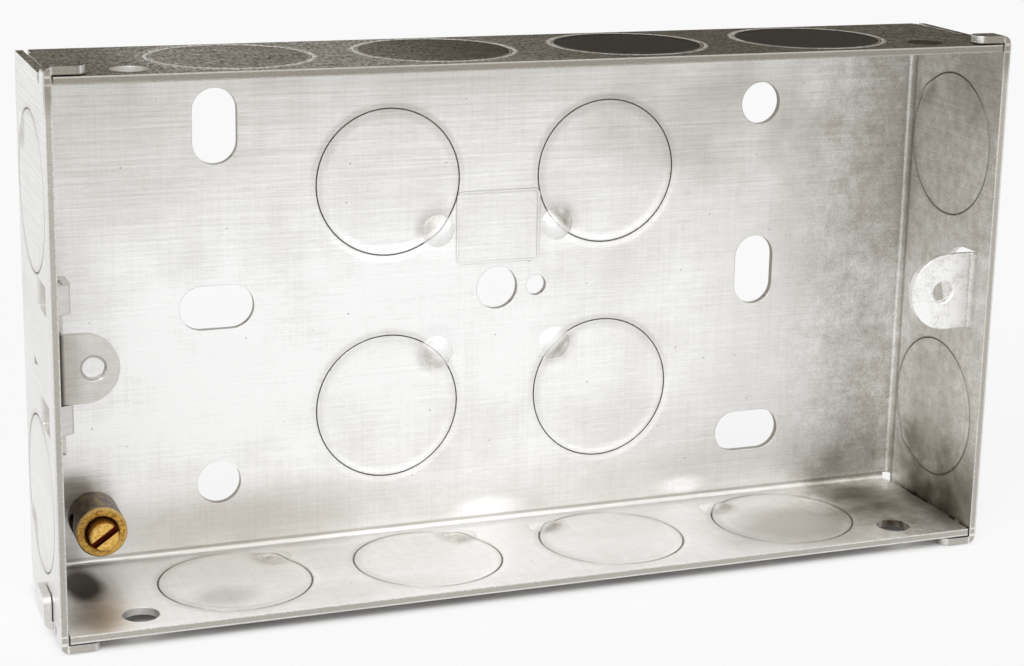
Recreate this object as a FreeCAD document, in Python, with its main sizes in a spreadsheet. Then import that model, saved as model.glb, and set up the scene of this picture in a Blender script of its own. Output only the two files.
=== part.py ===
import FreeCAD, Part
import math
import os
import Sketcher

# A flush back box for two wiring accessories, folded from one sheet of zinc-plated steel.
# X runs along the long side, Z up the short side, and the open mouth faces -Y.
# The origin is the centre of the back plate's rear face, which lies against the masonry.

# Driving dimensions in millimetres, with what each one is
DIMENSIONS = (
    ("box_width", 132.0, "outside, end wall to end wall"),
    ("box_height", 71.6, "outside, bottom wall to top wall"),
    ("box_depth", 25.0, "rear face to front rim"),
    ("sheet_thickness", 1.0, "steel sheet"),
    ("bend_inner_radius", 0.6, "inside of each fold of the sheet"),
    ("corner_gap", 0.25, "slit between a long wall's end and the end wall"),
    ("corner_relief", 0.3, "extra notch beyond each pair of folds at a rear corner"),
    ("corner_slit_length", 4.9, "rear face to the end of the wider slit at a rear corner"),
    ("corner_slit_width", 0.35, "how much wider that slit is"),
    ("corner_tab_reach", 5.2, "along the long wall, from the end wall's outer face"),
    ("corner_tab_width", 3.0, "back from the front rim"),
    ("corner_tab_standoff", 0.25, "air under a tab"),
    ("corner_tab_radius", 1.3, "outside of a tab's fold"),
    ("corner_tab_end_radius", 1.4, "rounding of a tab's free end"),
    ("corner_tab_relief", 1.2, "notch in the end wall behind each tab"),
    ("tongue_rear", 13.2, "rear face to the nearer side of a folded tongue"),
    ("tongue_width", 6.2, "of each tongue, front to back"),
    ("tongue_height", 4.4, "up the outside of the end wall"),
    ("tongue_standoff", 0.15, "air between a tongue and the end wall"),
    ("tongue_radius", 1.2, "outside of a tongue's fold"),
    ("tongue_end_radius", 1.0, "rounding of a tongue's free end"),
    ("knockout_diameter", 20.5, "sheared disc, for a 20 mm conduit"),
    ("shear_gap", 0.16, "cut round each disc"),
    ("tie_diameter", 3.0, "metal left to hold each disc"),
    ("tie_height", 0.12, "a tie stands proud of the inner face"),
    ("back_knockout_x", 16.1, "centre of each disc in the back plate, across"),
    ("back_knockout_z", 16.0, "centre of each disc in the back plate, up and down"),
    ("inner_knockout_x", 13.7, "centre of the two middle discs in a long wall"),
    ("outer_knockout_x", 40.8, "centre of the two end discs in a long wall"),
    ("end_knockout_z", 19.8, "centre of each disc in an end wall"),
    ("wall_knockout_offset", 0.2, "centre of a disc in a wall, forward of the middle of its depth"),
    ("slot_width", 6.1, "fixing slots and holes of the back plate"),
    ("slot_length", 10.3, "end to end"),
    ("slot_x", 40.2, "centre of the fixing slots, across"),
    ("slot_z", 24.8, "centre of the fixing slots, up and down"),
    ("centre_hole_diameter", 6.1, "middle of the back plate"),
    ("pilot_hole_diameter", 3.0, "beside the middle hole"),
    ("pilot_hole_x", 5.9, "centre, from the middle"),
    ("side_hole_diameter", 4.8, "fixing holes of the long walls"),
    ("side_hole_inset", 11.0, "end wall's outer face to the centre of a side hole"),
    ("side_hole_setback", 4.6, "centre, from the front rim"),
    ("panel_width", 12.4, "pressed outline of the bare panel"),
    ("panel_height", 10.4, "pressed outline of the bare panel"),
    ("panel_z", 8.9, "centre of the panel above the middle"),
    ("panel_corner_radius", 0.9, "corners of the panel's outline"),
    ("panel_bead_width", 0.35, "width of the pressed line"),
    ("panel_bead_height", 0.2, "height of the pressed line"),
    ("lug_inset", 5.7, "end wall's outer face to a faceplate screw, so the screws are 120.6 apart"),
    ("lug_setback", 4.0, "front rim to the front face of both lugs"),
    ("lug_bore_diameter", 3.0, "tapped for an M3.5 screw"),
    ("lug_bore_chamfer", 0.2, "mouth of each tapped hole"),
    ("fixed_lug_width", 10.9, "root of the lug in the right wall"),
    ("fixed_lug_clearance", 0.25, "window round the fixed lug's blank"),
    ("fixed_lug_window_length", 8.8, "window left by the blank, front to back"),
    ("bridge_pitch", 15.4, "centre to centre of the two bridges"),
    ("bridge_width", 3.8, "of each pressed bridge, up and down"),
    ("bridge_length", 6.3, "of each pressed bridge, front to back"),
    ("bridge_setback", 3.3, "front rim to the bridge"),
    ("bridge_leg_run", 1.0, "length of each sloping leg, front to back"),
    ("slider_clearance", 0.1, "round the sliding plate"),
    ("stop_clearance", 0.05, "adjustable lug to the bridge it rests on"),
    ("slider_length", 22.6, "sliding plate, up and down"),
    ("slider_relief", 0.4, "notch beside the adjustable lug's fold"),
    ("slider_end_radius", 1.0, "corners of the sliding plate"),
    ("sliding_lug_width", 8.9, "of the adjustable lug"),
    ("sliding_lug_tip", 3.3, "screw centre to the lug's tip"),
    ("fixed_lug_tip", 5.0, "screw centre to the fixed lug's tip"),
    ("nick_depth", 11.9, "rear face to the middle of the small locating nick"),
    ("nick_length", 2.8, "of the nick"),
    ("nick_width", 1.3, "of the nick"),
    ("nick_drop", 2.5, "nick below the middle"),
    ("post_end_inset", 8.4, "left wall's outer face to the centre of the earth terminal"),
    ("post_floor_inset", 8.0, "bottom wall's outer face to the centre of the earth terminal"),
    ("post_diameter", 6.8, "brass pillar"),
    ("post_length", 7.0, "back plate to the pillar's front face"),
    ("post_bore_diameter", 4.1, "threaded bore for the screw"),
    ("post_bore_floor", 0.8, "brass left at the bottom of the bore"),
    ("post_mouth_chamfer", 0.35, "mouth of the bore"),
    ("post_rim_chamfer", 0.2, "outer edge of the pillar"),
    ("post_spigot_diameter", 3.6, "staked through the back plate"),
    ("wire_hole_diameter", 3.0, "through the pillar"),
    ("wire_hole_height", 2.7, "back plate to the centre of the wire hole"),
    ("screw_clearance", 0.1, "between the screw and its bore"),
    ("screw_length", 4.6, "slotted screw"),
    ("screw_protrusion", 2.0, "the screw stands out of the pillar"),
    ("screw_edge_chamfer", 0.2, "front edge of the screw"),
    ("screw_point_chamfer", 0.7, "inner end of the screw"),
    ("screw_slot_width", 0.9, "driver slot"),
    ("screw_slot_depth", 1.0, "driver slot"),
    ("screw_slot_angle", 35.0, "driver slot, up from the horizontal, in degrees"),
)

document = FreeCAD.newDocument("flush_back_box")
sheet = document.addObject("Spreadsheet::Sheet", "sizes")
for row, (alias, amount, note) in enumerate(DIMENSIONS, start=1):
    sheet.set(f"A{row}", note)
    sheet.set(f"B{row}", str(amount))
    sheet.setAlias(f"B{row}", alias)
document.recompute()

FUNCTIONS = ("sin", "cos")


def bound(expression):
    """An expression on the sheet's aliases, written with each alias in full."""
    words = []
    word = ""
    for letter in expression + " ":
        if letter.isalnum() or letter in "_.":
            word += letter
            continue
        is_alias = word and not word[0].isdigit() and "." not in word and word not in FUNCTIONS
        words.append(f"sizes.{word}" if is_alias else word)
        words.append(letter)
        word = ""
    return "".join(words).strip()


def value(expression):
    return float(sheet.evalExpression(bound(expression)))


# Places that several features share, as expressions on the driving dimensions
HALF_WIDTH = "(box_width / 2)"
HALF_HEIGHT = "(box_height / 2)"
INSIDE_X = "(box_width / 2 - sheet_thickness)"
INSIDE_Z = "(box_height / 2 - sheet_thickness)"
LONG_WALL_END = "(box_width / 2 - sheet_thickness - corner_gap)"
CORNER_NOTCH = "(sheet_thickness + bend_inner_radius + corner_relief)"
BEND_OUTER_RADIUS = "(bend_inner_radius + sheet_thickness)"
LUG_FRONT = "(box_depth - lug_setback)"
LUG_BACK = "(box_depth - lug_setback - sheet_thickness)"
LUG_X = "(box_width / 2 - lug_inset)"
TAB_TOP = "(box_height / 2 + corner_tab_standoff + sheet_thickness)"
BRIDGE_FRONT = "(box_depth - bridge_setback)"
BRIDGE_BACK = "(box_depth - bridge_setback - bridge_length)"
BRIDGE_RISE = "(2 * sheet_thickness + 2 * slider_clearance)"
POST_FRONT = "(sheet_thickness + post_length)"
POST_X = "(-1 * (box_width / 2 - post_end_inset))"
POST_Z = "(-1 * (box_height / 2 - post_floor_inset))"
SIDE_HOLE_X = "(box_width / 2 - side_hole_inset)"
WALL_KNOCKOUT_DEPTH = "(box_depth / 2 + wall_knockout_offset)"


def origin_plane(body, role):
    return [item for item in body.Origin.OriginFeatures if item.Role == role][0]


def new_body(name):
    body = document.addObject("PartDesign::Body", name)
    body.Label = name
    return body


def new_sketch(body, name, role, offset="0"):
    """A sketch on one of the body's own origin planes, moved along that plane's normal."""
    sketch = body.newObject("Sketcher::SketchObject", name)
    sketch.AttachmentSupport = [(origin_plane(body, role), "")]
    sketch.MapMode = "FlatFace"
    sketch.setExpression("AttachmentOffset.Base.z", bound(offset))
    return sketch


def pin_point(sketch, geometry, position, across, along):
    """Holds one point of a sketch at two expressions."""
    for kind, expression in (("DistanceX", across), ("DistanceY", along)):
        amount = value(expression)
        index = sketch.addConstraint(Sketcher.Constraint(kind, -1, 1, geometry, position, amount))
        sketch.setExpression(f"Constraints[{index}]", bound(expression))


def polygon(sketch, corners):
    """A closed outline of straight lines through corners given as pairs of expressions."""
    points = [FreeCAD.Vector(value(across), value(along), 0) for across, along in corners]
    first = sketch.GeometryCount
    count = len(points)
    for index in range(count):
        segment = Part.LineSegment(points[index], points[(index + 1) % count])
        sketch.addGeometry(segment, False)
    for index in range(count):
        following = first + (index + 1) % count
        sketch.addConstraint(Sketcher.Constraint("Coincident", first + index, 2, following, 1))
    for index, (across, along) in enumerate(corners):
        pin_point(sketch, first + index, 1, across, along)


def rectangle(sketch, left, right, low, high):
    polygon(sketch, ((left, low), (right, low), (right, high), (left, high)))


def circle(sketch, across, along, diameter):
    centre = FreeCAD.Vector(value(across), value(along), 0)
    radius = value(diameter) / 2
    index = sketch.addGeometry(Part.Circle(centre, FreeCAD.Vector(0, 0, 1), radius), False)
    pin_point(sketch, index, 3, across, along)
    held = sketch.addConstraint(Sketcher.Constraint("Diameter", index, 2 * radius))
    sketch.setExpression(f"Constraints[{held}]", bound(diameter))


def rounded_outline(sketch, arcs, radius):
    """Arcs of one radius, given by centre and start and end angle, joined by tangent lines."""
    size = value(radius)
    spans = []
    for across, along, start, end in arcs:
        centre = FreeCAD.Vector(value(across), value(along), 0)
        full = Part.Circle(centre, FreeCAD.Vector(0, 0, 1), size)
        arc = Part.ArcOfCircle(full, math.radians(start), math.radians(end))
        spans.append((sketch.addGeometry(arc, False), arc))
    count = len(spans)
    for index in range(count):
        here, arc = spans[index]
        there, following = spans[(index + 1) % count]
        line = sketch.addGeometry(Part.LineSegment(arc.EndPoint, following.StartPoint), False)
        sketch.addConstraint(Sketcher.Constraint("Tangent", here, 2, line, 1))
        sketch.addConstraint(Sketcher.Constraint("Tangent", line, 2, there, 1))
    for (index, arc), (across, along, start, end) in zip(spans, arcs):
        pin_point(sketch, index, 3, across, along)
        held = sketch.addConstraint(Sketcher.Constraint("Radius", index, size))
        sketch.setExpression(f"Constraints[{held}]", bound(radius))


def rounded_rectangle(sketch, across, along, width, height, radius):
    right = f"({across} + {width} / 2 - {radius})"
    left = f"({across} - {width} / 2 + {radius})"
    high = f"({along} + {height} / 2 - {radius})"
    low = f"({along} - {height} / 2 + {radius})"
    arcs = ((right, high, 0, 90), (left, high, 90, 180), (left, low, 180, 270), (right, low, 270, 360))
    rounded_outline(sketch, arcs, radius)


def round_ended_slot(sketch, across, along, length, width, upright):
    """A slot with half-round ends, centred on a point, upright or level."""
    reach = f"(({length} - {width}) / 2)"
    if upright:
        arcs = ((across, f"({along} + {reach})", 0, 180), (across, f"({along} - {reach})", 180, 360))
    else:
        arcs = ((f"({across} - {reach})", along, 90, 270), (f"({across} + {reach})", along, -90, 90))
    rounded_outline(sketch, arcs, f"({width} / 2)")


def pad(body, name, sketch, length, symmetric=False):
    feature = body.newObject("PartDesign::Pad", name)
    feature.Profile = sketch
    feature.setExpression("Length", bound(length))
    feature.SideType = "Symmetric" if symmetric else "One side"
    document.recompute()
    return feature


def pocket(body, name, sketch, length):
    """A cut that runs as far to one side of its sketch as to the other."""
    before = body.Shape.Volume
    feature = body.newObject("PartDesign::Pocket", name)
    feature.Profile = sketch
    feature.setExpression("Length", bound(length))
    feature.SideType = "Symmetric"
    document.recompute()
    if body.Shape.Volume > before - 0.001:
        raise RuntimeError(f"{name} cuts nothing")
    return feature


def mirrored(body, name, features, role):
    feature = body.newObject("PartDesign::Mirrored", name)
    feature.Originals = features
    feature.MirrorPlane = (origin_plane(body, role), [""])
    body.Tip = feature
    document.recompute()
    return feature


def edges_where(feature, test):
    """Names of a feature's straight or round edges whose middle and direction pass a test."""
    names = []
    for index, edge in enumerate(feature.Shape.Edges, start=1):
        if edge.Length < 1e-6:
            continue
        middle = edge.valueAt((edge.FirstParameter + edge.LastParameter) / 2)
        start = edge.valueAt(edge.FirstParameter)
        end = edge.valueAt(edge.LastParameter)
        if test(middle, end - start, edge):
            names.append(f"Edge{index}")
    return names


def rounded(body, name, base, names, radius):
    if not names:
        raise RuntimeError(f"{name} finds no edges")
    feature = body.newObject("PartDesign::Fillet", name)
    feature.Base = (base, names)
    feature.setExpression("Radius", bound(radius))
    document.recompute()
    return feature


def chamfered(body, name, base, names, size):
    if not names:
        raise RuntimeError(f"{name} finds no edges")
    feature = body.newObject("PartDesign::Chamfer", name)
    feature.Base = (base, names)
    feature.setExpression("Size", bound(size))
    document.recompute()
    return feature


def near(one, other):
    return abs(one - other) < 0.01


def runs_along(direction, axis):
    return direction.Length > 1e-6 and abs(direction.dot(axis)) / direction.Length > 0.999


X_AXIS = FreeCAD.Vector(1, 0, 0)
Y_AXIS = FreeCAD.Vector(0, 1, 0)
Z_AXIS = FreeCAD.Vector(0, 0, 1)
SIDES = ("left", "right")
LEVELS = ("bottom", "top")
SIGN = {"left": "-1 * ", "right": "", "bottom": "-1 * ", "top": ""}
HALF_DIAGONAL = "(knockout_diameter / 2 * cos(45))"
SLIDER_OUTER_X = "(box_width / 2 - sheet_thickness - slider_clearance)"
SLIDER_INNER_X = "(box_width / 2 - 2 * sheet_thickness - slider_clearance)"
SLIDER_FRONT = "(box_depth - bridge_setback - bridge_leg_run - slider_clearance)"
SLIDER_BACK = "(box_depth - bridge_setback - bridge_length + bridge_leg_run + slider_clearance)"
SLIDING_LUG_Z = "(-1 * ((bridge_pitch - bridge_width - sliding_lug_width) / 2 - stop_clearance))"


# Sheet box: the back plate, the long walls and the end walls stand square before they are folded
shell = new_body("box_shell")

plate_sketch = new_sketch(shell, "back_plate_outline", "XZ_Plane")
polygon(plate_sketch, (
    (f"-1 * {HALF_WIDTH}", f"-1 * {HALF_HEIGHT}"),
    (HALF_WIDTH, f"-1 * {HALF_HEIGHT}"),
    (HALF_WIDTH, HALF_HEIGHT),
    (f"-1 * {HALF_WIDTH}", HALF_HEIGHT),
))
pad(shell, "back_plate", plate_sketch, "sheet_thickness")

end_sketch = new_sketch(shell, "end_wall_outlines", "XZ_Plane")
rectangle(end_sketch, INSIDE_X, HALF_WIDTH, f"-1 * {HALF_HEIGHT}", HALF_HEIGHT)
rectangle(end_sketch, f"-1 * {HALF_WIDTH}", f"-1 * {INSIDE_X}", f"-1 * {HALF_HEIGHT}", HALF_HEIGHT)
pad(shell, "end_walls", end_sketch, "box_depth")

# Notches in the end walls: behind each corner tab, and where the folded tongues pass out
notch_sketch = new_sketch(
    shell, "corner_tab_notches", "XZ_Plane", "box_depth - corner_tab_width - corner_tab_relief / 2")
for across in SIDES:
    for along in LEVELS:
        left = f"{SIGN[across]}({INSIDE_X} - corner_gap / 2)"
        right = f"{SIGN[across]}({HALF_WIDTH} + 1)"
        low = f"{SIGN[along]}({HALF_HEIGHT} - corner_tab_relief)"
        high = f"{SIGN[along]}({HALF_HEIGHT} + 1)"
        rectangle(notch_sketch, left, right, low, high)
pocket(shell, "corner_tab_relief_cut", notch_sketch, "corner_tab_relief")

foot_sketch = new_sketch(shell, "tongue_openings", "XZ_Plane", "tongue_rear + tongue_width / 2")
for across in SIDES:
    left = f"{SIGN[across]}({INSIDE_X} - corner_gap / 2)"
    right = f"{SIGN[across]}({HALF_WIDTH} + 1)"
    low = f"-1 * ({HALF_HEIGHT} + 1)"
    high = f"-1 * ({INSIDE_Z} - tongue_standoff)"
    rectangle(foot_sketch, left, right, low, high)
pocket(shell, "tongue_openings_cut", foot_sketch, "tongue_width + 2 * tongue_standoff")

long_sketch = new_sketch(shell, "long_wall_outlines", "XZ_Plane")
rectangle(long_sketch, f"-1 * {LONG_WALL_END}", LONG_WALL_END, INSIDE_Z, HALF_HEIGHT)
rectangle(long_sketch, f"-1 * {LONG_WALL_END}", LONG_WALL_END, f"-1 * {HALF_HEIGHT}", f"-1 * {INSIDE_Z}")
pad(shell, "long_walls", long_sketch, "box_depth")

# Rear corners: a square notch clears each pair of folds
notch_sketch = new_sketch(shell, "rear_corner_notches", "XZ_Plane")
for across in SIDES:
    for along in LEVELS:
        left = f"{SIGN[across]}({HALF_WIDTH} - {CORNER_NOTCH})"
        right = f"{SIGN[across]}({HALF_WIDTH} + 1)"
        low = f"{SIGN[along]}({HALF_HEIGHT} - {CORNER_NOTCH})"
        high = f"{SIGN[along]}({HALF_HEIGHT} + 1)"
        rectangle(notch_sketch, left, right, low, high)
pocket(shell, "rear_corner_relief", notch_sketch, f"2 * {CORNER_NOTCH}")

slit_sketch = new_sketch(shell, "rear_corner_slit_outlines", "XZ_Plane")
for across in SIDES:
    for along in LEVELS:
        left = f"{SIGN[across]}({LONG_WALL_END} - corner_slit_width)"
        right = f"{SIGN[across]}({INSIDE_X} - corner_gap / 2)"
        low = f"{SIGN[along]}({INSIDE_Z} - sheet_thickness / 2)"
        high = f"{SIGN[along]}({HALF_HEIGHT} + 1)"
        rectangle(slit_sketch, left, right, low, high)
pocket(shell, "rear_corner_slits", slit_sketch, "2 * corner_slit_length")

# Folds: the inside and the outside of the four bends round the back plate
thickness = value("sheet_thickness")
inside_x, inside_z = value(INSIDE_X), value(INSIDE_Z)
half_width, half_height = value(HALF_WIDTH), value(HALF_HEIGHT)


def is_inner_fold(middle, direction, edge):
    on_long = near(abs(middle.z), inside_z) and runs_along(direction, X_AXIS)
    on_end = near(abs(middle.x), inside_x) and runs_along(direction, Z_AXIS)
    return near(middle.y, -thickness) and (on_long or on_end)


def is_outer_fold(middle, direction, edge):
    on_long = near(abs(middle.z), half_height) and runs_along(direction, X_AXIS)
    on_end = near(abs(middle.x), half_width) and runs_along(direction, Z_AXIS)
    return near(middle.y, 0) and (on_long or on_end)


folds = rounded(shell, "inner_folds", shell.Tip, edges_where(shell.Tip, is_inner_fold), "bend_inner_radius")
folds = rounded(shell, "outer_folds", folds, edges_where(folds, is_outer_fold), BEND_OUTER_RADIUS)

# Corner tabs: each end wall's front corners fold over the outside of the long walls
tab_sketch = new_sketch(shell, "corner_tab_profiles", "XZ_Plane", "box_depth - corner_tab_width")
for across in SIDES:
    for along in LEVELS:
        side, rise = SIGN[across], SIGN[along]
        tip = f"{side}({HALF_WIDTH} - corner_tab_reach)"
        root = f"{rise}({HALF_HEIGHT} - 2 * sheet_thickness)"
        underside = f"{rise}({HALF_HEIGHT} + corner_tab_standoff)"
        polygon(tab_sketch, (
            (f"{side}{HALF_WIDTH}", root),
            (f"{side}{HALF_WIDTH}", f"{rise}{TAB_TOP}"),
            (tip, f"{rise}{TAB_TOP}"),
            (tip, underside),
            (f"{side}{INSIDE_X}", underside),
            (f"{side}{INSIDE_X}", root),
        ))
tabs = pad(shell, "corner_tabs", tab_sketch, "corner_tab_width")

tab_top = value(TAB_TOP)
tab_tip_x = value(f"{HALF_WIDTH} - corner_tab_reach")


def is_tab_fold(middle, direction, edge):
    return near(abs(middle.x), half_width) and near(abs(middle.z), tab_top) and runs_along(direction, Y_AXIS)


def is_tab_end(middle, direction, edge):
    above = abs(middle.z) > half_height
    return above and near(abs(middle.x), tab_tip_x) and runs_along(direction, Z_AXIS)


tabs = rounded(shell, "corner_tab_folds", tabs, edges_where(tabs, is_tab_fold), "corner_tab_radius")
tabs = rounded(shell, "corner_tab_ends", tabs, edges_where(tabs, is_tab_end), "corner_tab_end_radius")

# Folded tongues: the bottom wall passes through each end wall's foot and turns up outside it
tongue_sketch = new_sketch(shell, "tongue_profiles", "XZ_Plane", "tongue_rear")
TONGUE_INNER = f"({HALF_WIDTH} + tongue_standoff)"
TONGUE_OUTER = f"({HALF_WIDTH} + tongue_standoff + sheet_thickness)"
TONGUE_TOP = f"(-1 * {HALF_HEIGHT} + tongue_height)"
for across in SIDES:
    side = SIGN[across]
    polygon(tongue_sketch, (
        (f"{side}{LONG_WALL_END}", f"-1 * {HALF_HEIGHT}"),
        (f"{side}{TONGUE_OUTER}", f"-1 * {HALF_HEIGHT}"),
        (f"{side}{TONGUE_OUTER}", TONGUE_TOP),
        (f"{side}{TONGUE_INNER}", TONGUE_TOP),
        (f"{side}{TONGUE_INNER}", f"-1 * {INSIDE_Z}"),
        (f"{side}{LONG_WALL_END}", f"-1 * {INSIDE_Z}"),
    ))
tongues = pad(shell, "folded_tongues", tongue_sketch, "tongue_width")

tongue_outer = value(TONGUE_OUTER)
tongue_top = value(TONGUE_TOP)


def is_tongue_fold(middle, direction, edge):
    outer = near(abs(middle.x), tongue_outer) and near(middle.z, -half_height)
    return outer and runs_along(direction, Y_AXIS)


def is_tongue_corner(middle, direction, edge):
    outside = half_width < abs(middle.x) < tongue_outer
    return outside and near(middle.z, tongue_top) and runs_along(direction, X_AXIS)


names = edges_where(tongues, is_tongue_fold)
tongues = rounded(shell, "tongue_folds", tongues, names, "tongue_radius")
names = edges_where(tongues, is_tongue_corner)
tongues = rounded(shell, "tongue_corners", tongues, names, "tongue_end_radius")

# Holes and slots of the back plate
hole_sketch = new_sketch(shell, "back_plate_holes", "XZ_Plane", "sheet_thickness / 2")
round_ended_slot(hole_sketch, "-1 * slot_x", "slot_z", "slot_length", "slot_width", True)
round_ended_slot(hole_sketch, "-1 * slot_x", "0", "slot_length", "slot_width", False)
circle(hole_sketch, "-1 * slot_x", "-1 * slot_z", "slot_width")
circle(hole_sketch, "slot_x", "slot_z", "slot_width")
round_ended_slot(hole_sketch, "slot_x", "0", "slot_length", "slot_width", True)
round_ended_slot(hole_sketch, "slot_x", "-1 * slot_z", "slot_length", "slot_width", False)
circle(hole_sketch, "0", "0", "centre_hole_diameter")
circle(hole_sketch, "pilot_hole_x", "0", "pilot_hole_diameter")
circle(hole_sketch, POST_X, POST_Z, "post_spigot_diameter")
pocket(shell, "back_plate_holes_cut", hole_sketch, "2 * sheet_thickness")


def sheared_ring(sketch, across, along):
    """The cut round one knockout, as wide as the shear gap."""
    circle(sketch, across, along, "knockout_diameter + shear_gap")
    circle(sketch, across, along, "knockout_diameter - shear_gap")


# Knockouts: sheared right through all round, before the ties are put back
ring_sketch = new_sketch(shell, "back_knockout_rings", "XZ_Plane", "sheet_thickness / 2")
for across in SIDES:
    for along in LEVELS:
        sheared_ring(ring_sketch, f"{SIGN[across]}back_knockout_x", f"{SIGN[along]}back_knockout_z")
pocket(shell, "back_knockouts", ring_sketch, "2 * sheet_thickness")

ring_sketch = new_sketch(shell, "long_wall_knockout_rings", "XY_Plane")
for across in SIDES:
    for place in ("inner_knockout_x", "outer_knockout_x"):
        sheared_ring(ring_sketch, f"{SIGN[across]}{place}", f"-1 * {WALL_KNOCKOUT_DEPTH}")
    side_hole_y = "-1 * (box_depth - side_hole_setback)"
    circle(ring_sketch, f"{SIGN[across]}{SIDE_HOLE_X}", side_hole_y, "side_hole_diameter")
pocket(shell, "long_wall_knockouts", ring_sketch, "box_height + 2 * sheet_thickness")

ring_sketch = new_sketch(shell, "end_wall_knockout_rings", "YZ_Plane")
for along in LEVELS:
    sheared_ring(ring_sketch, f"-1 * {WALL_KNOCKOUT_DEPTH}", f"{SIGN[along]}end_knockout_z")
pocket(shell, "end_wall_knockouts", ring_sketch, "box_width + 2 * sheet_thickness")

# Ties: one spot of whole metal on each cut, pressed a little proud on the inside
tie_sketch = new_sketch(shell, "back_tie_spots", "XZ_Plane")
for across in SIDES:
    for along in LEVELS:
        spot_x = f"{SIGN[across]}(back_knockout_x - {HALF_DIAGONAL})"
        spot_z = f"{SIGN[along]}(back_knockout_z - {HALF_DIAGONAL})"
        circle(tie_sketch, spot_x, spot_z, "tie_diameter")
back_ties = pad(shell, "back_ties", tie_sketch, "sheet_thickness + tie_height")

tie_sketch = new_sketch(shell, "long_wall_tie_spots", "XY_Plane", f"{INSIDE_Z} - tie_height")
for across in SIDES:
    for place in ("inner_knockout_x", "outer_knockout_x"):
        spot_x = f"{SIGN[across]}({place} - {HALF_DIAGONAL})"
        circle(tie_sketch, spot_x, f"-1 * ({WALL_KNOCKOUT_DEPTH} - {HALF_DIAGONAL})", "tie_diameter")
top_ties = pad(shell, "top_wall_ties", tie_sketch, "sheet_thickness + tie_height")
mirrored(shell, "bottom_wall_ties", [top_ties], "XY_Plane")

tie_sketch = new_sketch(shell, "end_wall_tie_spots", "YZ_Plane", f"{INSIDE_X} - tie_height")
for along in LEVELS:
    spot_z = f"{SIGN[along]}(end_knockout_z + {HALF_DIAGONAL})"
    circle(tie_sketch, f"-1 * ({WALL_KNOCKOUT_DEPTH} - {HALF_DIAGONAL})", spot_z, "tie_diameter")
right_ties = pad(shell, "right_wall_ties", tie_sketch, "sheet_thickness + tie_height")
mirrored(shell, "left_wall_ties", [right_ties], "YZ_Plane")

# Bare panel: a raised line in the shape of a rounded rectangle, with nothing inside it
panel_sketch = new_sketch(shell, "panel_outline", "XZ_Plane", "sheet_thickness")
rounded_rectangle(panel_sketch, "0", "panel_z", "panel_width", "panel_height", "panel_corner_radius")
rounded_rectangle(
    panel_sketch, "0", "panel_z", "(panel_width - 2 * panel_bead_width)",
    "(panel_height - 2 * panel_bead_width)", "(panel_corner_radius - panel_bead_width)")
pad(shell, "panel_bead", panel_sketch, "panel_bead_height")

# Bridges: two windows in the left wall, whose metal is pressed inwards as straps
window_sketch = new_sketch(
    shell, "bridge_windows", "YZ_Plane", "-1 * (box_width / 2 - sheet_thickness / 2)")
for along in LEVELS:
    low = f"{SIGN[along]}(bridge_pitch / 2 - bridge_width / 2)"
    high = f"{SIGN[along]}(bridge_pitch / 2 + bridge_width / 2)"
    rectangle(window_sketch, f"-1 * {BRIDGE_FRONT}", f"-1 * {BRIDGE_BACK}", low, high)
polygon(window_sketch, (
    ("-1 * (nick_depth + nick_length / 2)", "-1 * nick_drop"),
    ("-1 * (nick_depth - nick_length / 2)", "-1 * (nick_drop + nick_width / 2)"),
    ("-1 * (nick_depth - nick_length / 2)", "-1 * (nick_drop - nick_width / 2)"),
))
pocket(shell, "bridge_windows_cut", window_sketch, "2 * sheet_thickness")

strap_sketch = new_sketch(shell, "bridge_profile", "XY_Plane", "bridge_pitch / 2 - bridge_width / 2")
STRAP_FLAT_FRONT = f"-1 * ({BRIDGE_FRONT} - bridge_leg_run)"
STRAP_FLAT_BACK = f"-1 * ({BRIDGE_BACK} + bridge_leg_run)"
polygon(strap_sketch, (
    (f"-1 * {HALF_WIDTH}", f"-1 * {BRIDGE_FRONT}"),
    (f"-1 * ({HALF_WIDTH} - {BRIDGE_RISE})", STRAP_FLAT_FRONT),
    (f"-1 * ({HALF_WIDTH} - {BRIDGE_RISE})", STRAP_FLAT_BACK),
    (f"-1 * {HALF_WIDTH}", f"-1 * {BRIDGE_BACK}"),
    (f"-1 * {INSIDE_X}", f"-1 * {BRIDGE_BACK}"),
    (f"-1 * ({INSIDE_X} - {BRIDGE_RISE})", STRAP_FLAT_BACK),
    (f"-1 * ({INSIDE_X} - {BRIDGE_RISE})", STRAP_FLAT_FRONT),
    (f"-1 * {INSIDE_X}", f"-1 * {BRIDGE_FRONT}"),
))
upper_bridge = pad(shell, "upper_bridge", strap_sketch, "bridge_width")
bridges = mirrored(shell, "lower_bridge", [upper_bridge], "XY_Plane")

strap_face_x = -value(f"{INSIDE_X} - {BRIDGE_RISE}")


def is_strap_bend(middle, direction, edge):
    return near(middle.x, strap_face_x) and runs_along(direction, Z_AXIS)


names = edges_where(bridges, is_strap_bend)
rounded(shell, "bridge_bends", bridges, names, "bend_inner_radius")


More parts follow.
